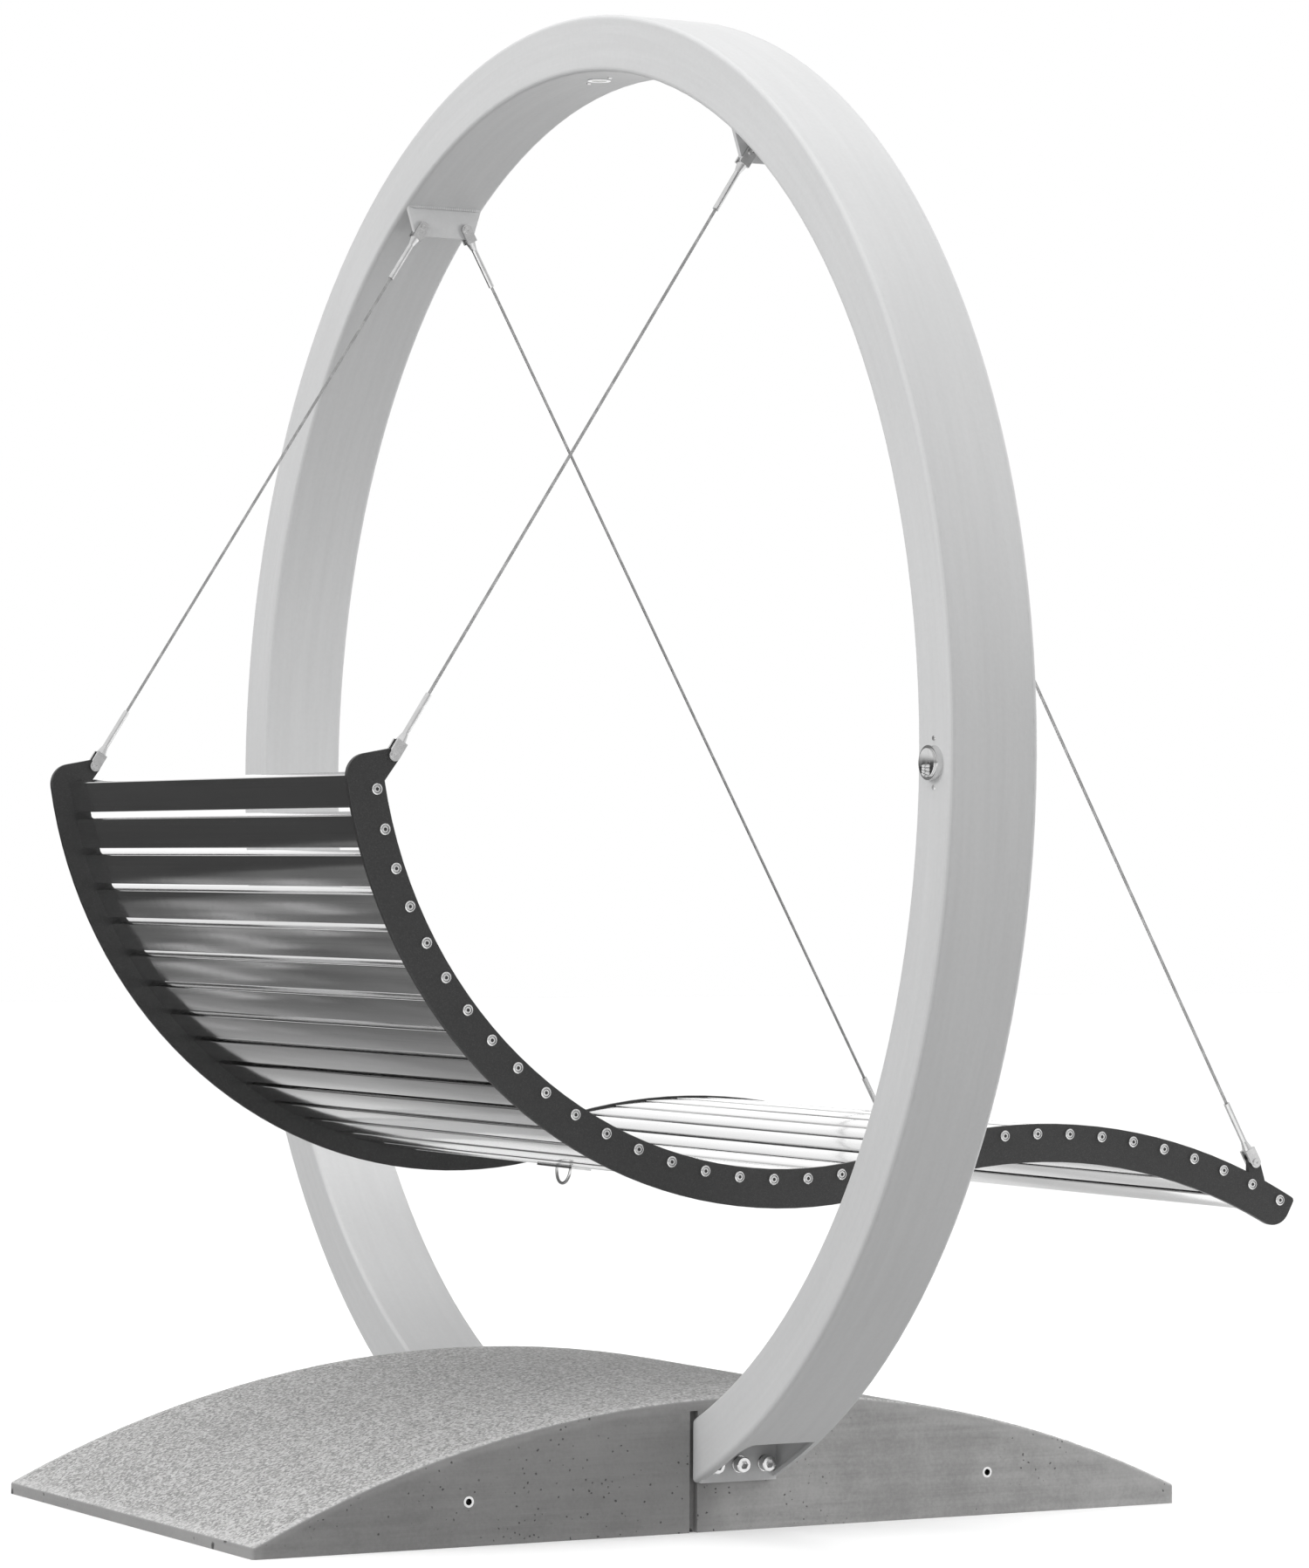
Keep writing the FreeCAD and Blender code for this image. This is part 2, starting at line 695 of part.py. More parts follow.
def slat_fasteners():
    """Countersunk screws in cup washers on the outside of both stringers."""
    screws = []
    washers = []
    seat = rope_plane + stringer_thickness / 2
    crown = seat + cup_washer_height
    neck = crown - slat_screw_head_height
    screw = rod(slat_screw_radius, axis_x * (stringer_face - slat_screw_reach), axis_x * crown)
    screw = screw.fuse(cone(slat_screw_radius, slat_screw_head_radius, axis_x * neck, axis_x * crown))
    socket_depth = slat_screw_head_height * 0.8
    screw = screw.cut(hexagon(slat_screw_socket_across_flats, axis_x * (crown - socket_depth), axis_x * crown))
    washer = rod(cup_washer_radius, axis_x * seat, axis_x * (seat + cup_washer_rim))
    washer = washer.fuse(cone(cup_washer_radius, slat_screw_head_radius + cup_washer_rim,
                              axis_x * (seat + cup_washer_rim), axis_x * crown))
    washer = washer.cut(cone(slat_screw_radius + thread_gap, slat_screw_head_radius + thread_gap,
                             axis_x * neck, axis_x * crown))
    washer = washer.cut(rod(slat_screw_radius + thread_gap, axis_x * seat, axis_x * crown))
    for side in (-1, 1):
        for number in range(slat_count):
            for shape, group in ((screw, screws), (washer, washers)):
                one = shape if side > 0 else shape.mirror(Vec(0, 0, 0), axis_x)
                group.append(on_screw_line(one, number * slat_pitch))
    add("slat_screws", *screws)
    add("cup_washers", *washers)


def tether_eye():
    """A plate with a welded loop, screwed under one slat, for a pull cord."""
    run = tether_slat * slat_pitch
    top = -slat_thickness / 2
    bottom = top - tether_plate_thickness
    half_length = tether_plate_length / 2
    half_width = tether_plate_width / 2
    plate = box((-half_length, -half_width, bottom), (half_length, half_width, top))
    screws = []
    for side in (-1, 1):
        low = Vec(side * tether_screw_offset, 0, bottom)
        neck = low + axis_z * tether_screw_head_height
        head = cone(tether_screw_head_radius, tether_screw_radius, low, neck)
        plate = plate.cut(cone(tether_screw_head_radius + thread_gap, tether_screw_radius + thread_gap,
                               low, neck))
        tip = Vec(side * tether_screw_offset, 0, top)
        plate = plate.cut(rod(tether_screw_radius + thread_gap, low, tip))
        screws.append(on_screw_line(head.fuse(rod(tether_screw_radius, low, tip)), run))
    half_loop = tether_loop_width / 2
    bend = Vec(0, 0, bottom - tether_loop_drop + tether_wire_radius + half_loop)
    left = Vec(-half_loop, 0, bend.z)
    right = Vec(half_loop, 0, bend.z)
    route = Part.Wire([Part.Arc(left, bend - axis_z * half_loop, right).toShape()])
    section = Part.Wire([Part.makeCircle(tether_wire_radius, left, axis_z)])
    loop = route.makePipeShell([section], True, False)
    for foot in (left, right):
        loop = loop.fuse(rod(tether_wire_radius, foot, Vec(foot.x, 0, bottom)))
    add("tether_plate", on_screw_line(plate, run))
    add("tether_loop", on_screw_line(loop, run))
    add("tether_screws", *screws)


# ---------------------------------------------------------------- light and button
def panel_screw(head_face, inward):
    """A small countersunk screw whose head stands on a panel."""
    neck = head_face + inward * panel_screw_head_height
    head = cone(panel_screw_head_radius * 0.8, panel_screw_head_radius, head_face, neck)
    return head.fuse(rod(panel_screw_radius, head_face, head_face + inward * panel_screw_length))


def lamp():
    """A round downlight in the crown of the ring, shining on the seat."""
    face = ring_point(ring_inner_radius, 90)
    inside = ring_point(module_top_radius, 90)
    lens_radius = lamp_radius - lamp_bezel_width
    body = rod(lamp_radius, face, inside)
    body = body.cut(rod(lens_radius + lamp_wall_gap, face, face + axis_z * lamp_lens_thickness))
    add("lamp_body", body)
    lens_low = face - axis_z * (lamp_bezel_height / 2)
    add("lamp_lens", rod(lens_radius, lens_low, face + axis_z * lamp_lens_thickness))
    bezel = tube(lamp_radius + lamp_bezel_width, lens_radius + lamp_wall_gap,
                 face - axis_z * lamp_bezel_height, face)
    seat = rod(ring_inner_radius, ring_centre - axis_y * ring_depth, ring_centre + axis_y * ring_depth)
    add("lamp_bezel", bezel.common(seat))
    low = face - axis_z * panel_screw_head_height
    screws = []
    far_side = lamp_screw_offset + panel_screw_head_radius
    drop = ring_inner_radius - math.sqrt(ring_inner_radius**2 - far_side**2)
    for side in (-1, 1):
        screws.append(panel_screw(low + Vec(side * lamp_screw_offset, 0, -drop), axis_z))
    add("lamp_screws", *screws)


def button():
    """A sprung push button in a collar, with its switch and the lamp's driver behind it."""
    middle_radius = (ring_outer_radius + ring_inner_radius) / 2
    panel = ring_point(middle_radius, button_angle, -ring_half_depth)
    inner_panel = panel + axis_y * ring_plate_thickness
    collar_face = panel - axis_y * button_collar_height
    cap_radius = button_collar_radius - button_collar_wall - button_gap
    add("button_collar", tube(button_collar_radius, button_collar_radius - button_collar_wall,
                              collar_face, panel))
    cap_face = collar_face - axis_y * button_travel
    cap_back = cap_face + axis_y * button_cap_thickness
    stem_end = panel - axis_y * (button_travel + button_gap)
    cap = rod(cap_radius, cap_face, cap_back).fuse(rod(button_stem_radius, cap_back, stem_end))
    add("light_button", cap)
    coil = tube(button_spring_radius, button_spring_radius - button_spring_wire,
                cap_back + axis_y * button_gap, panel)
    add("button_spring", coil)
    switch_end = inner_panel + axis_y * switch_body_length
    add("switch_body", rod(switch_body_radius, inner_panel, switch_end))
    screws = []
    for side in (-1, 1):
        head = panel + Vec(0, -panel_screw_head_height, side * button_screw_offset)
        screws.append(panel_screw(head, axis_y))
    add("button_screws", *screws)
    low_radius = inner_band_outer_radius + driver_margin
    low = (low_radius, switch_end.y, panel.z - driver_length / 2)
    high = (module_top_radius, driver_past_middle, panel.z + driver_length / 2)
    driver = box(low, high)
    room = ring_disc(module_top_radius, low_radius, ring_depth)
    add("led_driver", driver.common(room))


def lamp_lead():
    """The lead inside the ring, from the right foot past the driver to the lamp."""
    sine = (foot_opening_top + 2 * lead_radius - ring_centre_height) / lead_line_radius
    foot_angle = math.degrees(math.asin(sine))
    start = ring_point(lead_line_radius, foot_angle)
    middle = ring_point(lead_line_radius, (foot_angle + 90) / 2)
    end = ring_point(lead_line_radius, 90)
    route = Part.Wire([Part.Arc(start, middle, end).toShape()])
    along = axis_y.cross(start - ring_centre)
    section = Part.Wire([Part.makeCircle(lead_radius, start, along)])
    add("lamp_lead", route.makePipeShell([section], True, False))


def panel_holes(plate):
    """The front plate's holes for the button's screws."""
    middle_radius = (ring_outer_radius + ring_inner_radius) / 2
    panel = ring_point(middle_radius, button_angle, -ring_half_depth)
    for side in (-1, 1):
        place = panel + axis_z * (side * button_screw_offset)
        plate = plate.cut(rod(panel_screw_radius + lamp_wall_gap, place - axis_y,
                              place + axis_y * (ring_plate_thickness + 1)))
    return plate


# ---------------------------------------------------------------- assembly
def build():
    add("ring_front_plate", panel_holes(ring_plate(-1)))
    add("ring_rear_plate", ring_plate(1))
    add("ring_outer_band", outer_band())
    add("ring_inner_band", inner_band())
    add("concrete_base", concrete_base())
    add("foot_plate_left", foot_plate(-1))
    add("foot_plate_right", foot_plate(1))
    bolts = foot_bolt_places()
    add("foot_bolts", *[foot_bolt(place) for place in bolts])
    add("foot_washers", *[foot_washer(place) for place in bolts])
    anchors = []
    for place in bolts:
        bore = foot_bolt_reach + foot_bolt_clearance
        anchors.append(blind_sleeve(place, anchor_radius, foot_bolt_radius + thread_gap, anchor_length, bore))
    add("base_anchors", *anchors)
    sockets = []
    for place in socket_places():
        sockets.append(blind_sleeve(place, socket_outer_radius, socket_bore_radius, socket_length,
                                    socket_bore_depth))
    add("side_sockets", *sockets)
    head_hang = (-hanger_pin_offset, hanger_pin_height)
    foot_hang = (hanger_pin_offset, hanger_pin_height)
    for side, word in ((-1, "left"), (1, "right")):
        add("hanger_plate_" + word, hanger_plate(side))
        rope_set("head_" + word, side, head_hang, head_pin)
        rope_set("foot_" + word, side, foot_hang, foot_pin)
        add("stringer_" + word, stringer(side))
    slats()
    slat_fasteners()
    tether_eye()
    lamp()
    button()
    lamp_lead()


build()
os.makedirs("parts", exist_ok=True)
for name, shape in nodes.items():
    shape.exportStep("parts/" + name + ".step")
    print(name, len(shape.Solids), round(shape.Volume), shape.isValid())
print(len(nodes), "nodes")
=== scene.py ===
import json
import math
import bpy
import bmesh
from mathutils import Matrix, Vector

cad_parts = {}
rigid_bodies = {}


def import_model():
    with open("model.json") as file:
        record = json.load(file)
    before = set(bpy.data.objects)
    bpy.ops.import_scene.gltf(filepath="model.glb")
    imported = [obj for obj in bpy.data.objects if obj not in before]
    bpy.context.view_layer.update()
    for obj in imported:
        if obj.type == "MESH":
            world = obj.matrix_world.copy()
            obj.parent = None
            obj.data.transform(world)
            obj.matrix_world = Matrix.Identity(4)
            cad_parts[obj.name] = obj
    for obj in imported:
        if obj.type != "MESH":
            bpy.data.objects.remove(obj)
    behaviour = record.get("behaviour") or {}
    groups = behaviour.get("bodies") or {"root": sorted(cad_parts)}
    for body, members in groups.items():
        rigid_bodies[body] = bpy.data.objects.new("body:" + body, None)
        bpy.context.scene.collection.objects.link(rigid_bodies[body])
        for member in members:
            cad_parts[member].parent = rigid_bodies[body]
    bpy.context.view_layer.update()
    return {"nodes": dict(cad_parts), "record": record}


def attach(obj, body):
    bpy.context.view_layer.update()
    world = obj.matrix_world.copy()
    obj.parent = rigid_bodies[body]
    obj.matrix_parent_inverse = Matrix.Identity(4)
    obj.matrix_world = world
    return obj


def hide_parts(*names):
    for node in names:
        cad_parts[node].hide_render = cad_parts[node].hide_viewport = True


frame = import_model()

# A ring swing lounger: a slatted lounger on wire ropes in a painted steel ring, on a concrete base.
# Metres, +Z up. The ring stands in the XZ plane and the head of the lounger points to -Y.

scene = bpy.context.scene
nodes = frame["nodes"]
ringMiddle = 1.181  # height of the ring's middle above the ground
ropePlane = 0.560  # distance of the ropes from the middle plane

# camera: where it stands, its angles in radians, and its lens in millimetres
cameraView = {
    "place": (7.6426, -4.1049, 1.0119),
    "yaw": 2.637604,
    "pitch": 0.016164,
    "roll": 0.006104,
    "lens": 123.2965,
    "sensor": 36.0,
    "farEnd": 200,
}


def placeCamera(view):
    yaw, pitch, roll = view["yaw"], view["pitch"], view["roll"]
    forward = Vector((math.cos(yaw) * math.cos(pitch), math.sin(yaw) * math.cos(pitch), math.sin(pitch)))
    level = Vector((forward.y, -forward.x, 0)).normalized()
    over = level.cross(forward)
    right = math.cos(roll) * level + math.sin(roll) * over
    up = -math.sin(roll) * level + math.cos(roll) * over
    data = bpy.data.cameras.new("viewCamera")
    data.sensor_width = view["sensor"]
    data.lens = view["lens"]
    data.clip_end = view["farEnd"]
    camera = bpy.data.objects.new("viewCamera", data)
    scene.collection.objects.link(camera)
    turn = Matrix((right, up, -forward)).transposed()
    camera.matrix_world = Matrix.Translation(view["place"]) @ turn.to_4x4()
    scene.camera = camera


placeCamera(cameraView)
print("camera placed")


# shader maths: a wrapped socket that adds nodes as it is added, multiplied and so on
class Wire:
    def __init__(self, tree, socket=None):
        self.tree = tree
        self.socket = socket

    def node(self, kind, settings=None, sockets=None, out=0):
        made = self.tree.nodes.new(kind)
        for name, value in (settings or {}).items():
            setattr(made, name, value)
        for name, value in (sockets or {}).items():
            if isinstance(value, Wire):
                self.tree.links.new(value.socket, made.inputs[name])
            else:
                made.inputs[name].default_value = value
        return Wire(self.tree, made.outputs[out])

    def maths(self, operation, *values):
        return self.node("ShaderNodeMath", {"operation": operation}, dict(enumerate(values)))

    def __add__(self, other):
        return self.maths("ADD", self, other)

    def __sub__(self, other):
        return self.maths("SUBTRACT", self, other)

    def __rsub__(self, other):
        return self.maths("SUBTRACT", other, self)

    def __mul__(self, other):
        return self.maths("MULTIPLY", self, other)

    def __truediv__(self, other):
        return self.maths("DIVIDE", self, other)

    __radd__ = __add__
    __rmul__ = __mul__

    def atLeast(self, other):
        return self.maths("MAXIMUM", self, other)

    def atMost(self, other):
        return self.maths("MINIMUM", self, other)

    def absolute(self):
        return self.maths("ABSOLUTE", self)

    def step(self, low, high):
        ends = {"Value": self, "From Min": low, "From Max": high}
        return self.node("ShaderNodeMapRange", {"interpolation_type": "SMOOTHSTEP"}, ends)

    def tint(self, dark, light):
        sockets = {0: self, 6: opaque(dark), 7: opaque(light)}
        return self.node("ShaderNodeMix", {"data_type": "RGBA"}, sockets, 2)


def opaque(colour):
    return (*colour, 1) if isinstance(colour, tuple) else colour


def grey(level, warm=0.0):
    return (level * (1 + warm), level, level * (1 - warm))


def objectPlace(wire):
    return wire.node("ShaderNodeTexCoord", out=3)


def axesOf(wire, place):
    parts = wire.node("ShaderNodeSeparateXYZ", None, {0: place}).socket.node
    return [Wire(wire.tree, parts.outputs[n]) for n in range(3)]


def stretched(wire, place, stretch):
    return wire.node("ShaderNodeMapping", None, {"Vector": place, "Scale": stretch})


def noise(wire, place, scale, detail=3.0, rough=0.5, warp=0.0):
    sockets = {"Vector": place, "Scale": scale, "Detail": detail, "Roughness": rough, "Distortion": warp}
    return wire.node("ShaderNodeTexNoise", None, sockets)


def cellPick(wire, place, scale):
    # one random number for each cell
    cells = wire.node("ShaderNodeTexVoronoi", None, {"Vector": place, "Scale": scale}, 1)
    return wire.node("ShaderNodeSeparateColor", None, {0: cells})


def bump(wire, height, distance, strength=1.0, under=None):
    sockets = {"Height": height, "Distance": distance, "Strength": strength}
    if under is not None:
        sockets["Normal"] = under
    return wire.node("ShaderNodeBump", None, sockets)


def makeFinish(name, recipe, values):
    material = bpy.data.materials.new(name)
    material.use_nodes = True
    tree = material.node_tree
    tree.nodes.clear()
    sockets = recipe(Wire(tree), values)
    shader = Wire(tree).node("ShaderNodeBsdfPrincipled", None, sockets)
    end = tree.nodes.new("ShaderNodeOutputMaterial")
    tree.links.new(shader.socket, end.inputs["Surface"])
    material.diffuse_color = (*values["colour"], 1)
    return material


ringPaintLook = {
    "colour": grey(0.60, -0.004),
    "lightColour": grey(0.66, -0.004),
    "dustColour": grey(0.5),
    "dust": 0.18,
    "roughness": 0.36,
    "peelSize": 0.0035,
    "peelDepth": 0.00016,
    "streakDepth": 0.0005,
    "streakStretch": (1.1, 22, 30),  # round the ring, along its depth, outwards
}


def ringPaint(wire, look):
    # polar coordinates about the ring's middle, so that streaks run round it
    place = objectPlace(wire)
    x, y, z = axesOf(wire, place)
    high = z - ringMiddle
    square = x * x + high * high
    radius = square.maths("SQRT", square)
    around = high.maths("ARCTAN2", high, x) * 1.2
    unrolled = wire.node("ShaderNodeCombineXYZ", None, {0: around, 1: y, 2: radius})
    streaks = noise(wire, stretched(wire, unrolled, look["streakStretch"]), 2.4, 4, 0.62)
    broad = noise(wire, place, 1.7, 2)
    peel = noise(wire, place, 1 / look["peelSize"] * 0.5, 2, 0.55)
    dust = noise(wire, place, 90, 5, 0.7).step(0.62, 0.8)
    shade = (streaks * 0.45 + broad * 0.35 + peel * 0.2).step(0.3, 0.72)
    colour = shade.tint(look["colour"], look["lightColour"])
    colour = (dust * look["dust"]).tint(colour, look["dustColour"])
    normal = bump(wire, streaks, look["streakDepth"], 0.5)
    normal = bump(wire, peel, look["peelDepth"], 0.8, normal)
    return {"Base Color": colour, "Normal": normal,
            "Roughness": look["roughness"] + broad * 0.1 - peel * 0.06}


concreteLook = {
    "colour": grey(0.29, 0.008),
    "lightColour": grey(0.46, 0.008),
    # a darker half of the sides, towards -Y
    "dampColour": grey(0.13, 0.008),
    "damp": 0.52,
    # edgeColour: painted highlight along the bevelled edges
    "edgeColour": grey(0.50, 0.006),
    # painted shade in the bug holes
    "holeColour": grey(0.035, 0.01),
    # the top's colours are set lighter than the sides': partly the rough top's own finish, partly painted
    # light from above
    "topColour": grey(0.28, 0.008),
    "topLight": grey(0.66, 0.006),
    "chalkColour": grey(0.6),
    "roughness": 0.62,
    "depth": 0.0011,
    "pits": {"scale": 24, "share": 0.42, "growth": 0.56},
    "specks": {"scale": 80, "share": 0.5, "growth": 0.46},
    "halfWidth": 0.469,
    "halfLength": 0.812,
    "border": 0.019,
    "crown": 0.206,
    "foot": 0.024,
}


def bugHoles(wire, place, scale, share, growth):
    # round holes in a share of the cells, each of its own size
    cells = {"Vector": place, "Scale": scale}
    away = wire.node("ShaderNodeTexVoronoi", None, cells)
    pick = cellPick(wire, place, scale)
    size = ((pick - (1 - share)) * growth).atLeast(0.001)
    return (1 - (away / size).step(0.7, 1.1)) * pick.step(1 - share, 1.03 - share)


def raggedPlace(wire, place, scale, reach):
    # shifts the pattern a little, so that round things come out ragged
    shift = wire.node("ShaderNodeTexNoise", None, {"Vector": place, "Scale": scale}, 1)
    shift = wire.node("ShaderNodeVectorMath", {"operation": "SCALE"}, {0: shift, "Scale": reach})
    return wire.node("ShaderNodeVectorMath", {"operation": "ADD"}, {0: place, 1: shift})


def castConcrete(wire, look):
    # smooth cast sides with bug holes and board marks, and a rough top
    place = objectPlace(wire)
    x, y, z = axesOf(wire, place)
    facing = axesOf(wire, wire.node("ShaderNodeNewGeometry", out=1))
    upward = facing[2].step(0.35, 0.75)
    # the arched top, as a parabola through the crown and the two ends
    rise = look["crown"] - look["foot"]
    belowTop = look["crown"] - (y * y) * (rise / look["halfLength"] ** 2) - z
    fromSide = look["halfWidth"] - x.absolute()
    fromEnd = look["halfLength"] - y.absolute()
    wander = noise(wire, place, 22, 2) * 0.008
    border = look["border"]
    sideBorder = 1 - (belowTop.atMost(fromEnd) + wander).step(border * 0.75, border * 1.3)
    topBorder = 1 - (fromSide.atMost(fromEnd) + wander).step(border * 0.85, border * 1.15)

    cloud = noise(wire, place, 3.2, 5, 0.6)
    patchy = noise(wire, place, 14, 5, 0.7)
    grain = noise(wire, place, 170, 5, 0.72)
    sand = noise(wire, place, 620, 2, 0.6)
    boards = noise(wire, stretched(wire, place, (1, 1.2, 30)), 2.6, 5, 0.62, 0.3)
    fibres = noise(wire, stretched(wire, place, (4, 5, 330)), 2)
    ragged = raggedPlace(wire, place, 130, 0.006)
    pits = bugHoles(wire, ragged, **look["pits"])
    specks = bugHoles(wire, ragged, **look["specks"]) * noise(wire, place, 6, 2).step(0.44, 0.54)

    side = (cloud * 0.35 + patchy * 0.2 + boards * 0.22 + grain * 0.23).step(0.36, 0.64)
    side = side.tint(look["colour"], look["lightColour"])
    # the sides are darker on the half towards -Y
    side = ((1 - (y + cloud * 0.1).step(0.0, 0.07)) * look["damp"]).tint(side, look["dampColour"])
    side = (fibres.step(0.58, 0.78) * 0.08).tint(side, grey(0.5))
    # a lighter border along the top edge and ends of the sides: painted highlight where the bevelled edge
    # catches light
    side = (sideBorder * 0.20).tint(side, look["edgeColour"])
    # bug holes and specks painted nearly black: painted shade in hollows that are only a bump
    side = (pits.atLeast(specks * 0.8) * 0.9).tint(side, look["holeColour"])

    crumbs = cellPick(wire, place, 260)
    # the rough top's own grain and crumbs, with colours set lighter than the sides as painted light from
    # above
    top = (grain * 0.45 + crumbs * 0.35 + sand * 0.1 + cloud * 0.1).step(0.32, 0.68)
    top = top.tint(look["topColour"], look["topLight"])
    # a lighter, smoother border round the top: a smoother finish, and painted highlight where the bevelled
    # edge catches light
    top = (topBorder * 0.35).tint(top, look["edgeColour"])
    top = (noise(wire, place, 7, 4, 0.7).step(0.6, 0.78) * 0.2).tint(top, look["chalkColour"])

    sideHeight = boards * 0.25 + patchy * 0.2 + fibres * 0.08 + grain * 0.1 - pits * 2.2 - specks * 0.8
    topHeight = (grain * 2.2 + sand * 1.2) * (1 - topBorder * 0.75)
    height = sideHeight * (1 - upward) + topHeight * upward
    return {"Base Color": upward.tint(side, top), "Specular IOR Level": 0.35,
            "Roughness": look["roughness"] + grain * 0.22 - sideBorder * 0.06,
            "Normal": bump(wire, height, look["depth"])}


steelLook = {
    "colour": grey(0.74),
    "darkColour": grey(0.60),
    "roughness": 0.13,
    "wear": 0.12,
    "lines": (9, 260, 260),
    "depth": 0.00004,
}


def polishedSteel(wire, look):
    place = objectPlace(wire)
    scratches = noise(wire, stretched(wire, place, look["lines"]), 3, 4, 0.6)
    stain = noise(wire, place, 60, 4, 0.65)
    colour = (stain.step(0.4, 0.7) * 0.6 + scratches * 0.3).tint(look["darkColour"], look["colour"])
    return {"Base Color": colour, "Metallic": 1.0,
            "Roughness": look["roughness"] + scratches * look["wear"] + stain * look["wear"] * 0.5,
            "Normal": bump(wire, scratches + stain * 0.3, look["depth"], 0.7)}


galvanisedLook = {**steelLook, "colour": grey(0.48), "darkColour": grey(0.34), "roughness": 0.38,
                  "lines": (120, 120, 120), "depth": 0.0001}
ropeLook = {**steelLook, "colour": grey(0.55), "darkColour": grey(0.30), "roughness": 0.26,
            "lines": (700, 700, 300), "depth": 0.00008}
chromeLook = {**steelLook, "colour": grey(0.78), "darkColour": grey(0.70), "roughness": 0.02, "wear": 0.04,
              "depth": 0.00001, "domeMiddle": (1.15493, 1.1679), "domeRadius": 0.0205, "domeSlope": 5.0}


def domedChrome(wire, look):
    # polished, and the button's face swells a little
    sockets = polishedSteel(wire, look)
    x, _, z = axesOf(wire, objectPlace(wire))
    x = x - look["domeMiddle"][0]
    z = z - look["domeMiddle"][1]
    square = (x * x + z * z).atMost(look["domeRadius"] ** 2)
    sockets["Normal"] = bump(wire, square * -look["domeSlope"], 1.0, 1.0, sockets["Normal"])
    return sockets


stringerLook = {
    "colour": grey(0.018),
    "lightColour": grey(0.034),
    "flakeColour": grey(0.13),
    "flakes": 0.25,
    "roughness": 0.33,
    "depth": 0.00006,
}


def stringerPaint(wire, look):
    place = objectPlace(wire)
    sparkle = noise(wire, place, 900, 2, 0.6)
    fine = noise(wire, place, 260, 3, 0.6)
    wear = noise(wire, place, 5, 4, 0.6)
    shade = (sparkle * 0.55 + fine * 0.3 + wear * 0.15).step(0.42, 0.7)
    colour = shade.tint(look["colour"], look["lightColour"])
    flakes = cellPick(wire, place, 1100).step(0.8, 0.95)
    colour = (flakes * look["flakes"]).tint(colour, look["flakeColour"])
    return {"Base Color": colour, "Roughness": look["roughness"] + fine * 0.12 + wear * 0.06,
            "Normal": bump(wire, sparkle + fine, look["depth"], 0.8)}


slatLook = {
    "colour": grey(0.66),
    "lightColour": grey(0.78),
    "dirtColour": grey(0.35),
    "roughness": 0.075,
    "waves": (2.6, 24, 24),
    "waveDepth": 0.0001,
    "rippleDepth": 0.00012,
    "lineDepth": 0.000005,
}


def slatAluminium(wire, look):
    # die lines run along each slat, and its surface waves a little
    place = objectPlace(wire)
    dieLines = noise(wire, stretched(wire, place, (0.7, 420, 420)), 2, 3, 0.6)
    ripple = noise(wire, stretched(wire, place, (34, 3, 3)), 1, 2)
    waves = noise(wire, stretched(wire, place, look["waves"]), 1)
    dirt = noise(wire, place, 130, 4, 0.7).step(0.58, 0.78)
    colour = (dieLines * 0.5 + waves * 0.5).step(0.3, 0.7).tint(look["colour"], look["lightColour"])
    colour = (dirt * 0.15).tint(colour, look["dirtColour"])
    normal = bump(wire, waves, look["waveDepth"], 0.7)
    normal = bump(wire, ripple, look["rippleDepth"], 0.5, normal)
    normal = bump(wire, dieLines, look["lineDepth"], 0.5, normal)
    return {"Base Color": colour, "Metallic": 1.0, "Normal": normal,
            "Roughness": look["roughness"] + dieLines * 0.07 + dirt * 0.1}


plasticLook = {"colour": grey(0.02), "lightColour": grey(0.035), "roughness": 0.42, "grain": 800,
               "depth": 0.00008}
rubberLook = {**plasticLook, "roughness": 0.6, "grain": 400}


def mouldedPlastic(wire, look):
    place = objectPlace(wire)
    grain = noise(wire, place, look["grain"], 3, 0.6)
    worn = noise(wire, place, 40)
    return {"Base Color": (grain * 0.5 + worn * 0.5).tint(look["colour"], look["lightColour"]),
            "Roughness": look["roughness"] + worn * 0.15, "Normal": bump(wire, grain, look["depth"], 0.6)}


lensLook = {"colour": (0.86, 0.87, 0.84), "lightColour": (0.93, 0.93, 0.90), "roughness": 0.22, "coat": 0.6,
            "depth": 0.00005}


def frostedLens(wire, look):
    place = objectPlace(wire)
    frost = noise(wire, place, 500, 2)
    clouds = noise(wire, place, 160, 2)
    return {"Base Color": clouds.tint(look["colour"], look["lightColour"]), "Coat Weight": look["coat"],
            "Roughness": look["roughness"] + frost * 0.2, "Normal": bump(wire, frost, look["depth"], 0.6)}


finishes = {
    "ring_paint": makeFinish("ringPaint", ringPaint, ringPaintLook),
    "concrete": makeFinish("castConcrete", castConcrete, concreteLook),
    "galvanised": makeFinish("galvanisedSteel", polishedSteel, galvanisedLook),
    "stainless": makeFinish("polishedSteel", polishedSteel, steelLook),
    "wire_rope": makeFinish("ropeWire", polishedSteel, ropeLook),
    "stringer_paint": makeFinish("stringerPaint", stringerPaint, stringerLook),
    "slat_aluminium": makeFinish("slatAluminium", slatAluminium, slatLook),
    "chrome": makeFinish("buttonChrome", domedChrome, chromeLook),
    "lamp_glass": makeFinish("frostedLens", frostedLens, lensLook),
    "black_plastic": makeFinish("blackPlastic", mouldedPlastic, plasticLook),
    "lead_rubber": makeFinish("leadRubber", mouldedPlastic, rubberLook),
}
for part in frame["record"]["subparts"]:
    mesh = nodes[part["node"]].data
    mesh.materials.clear()
    mesh.materials.append(finishes[part["material_slot"]])
print("finishes made")


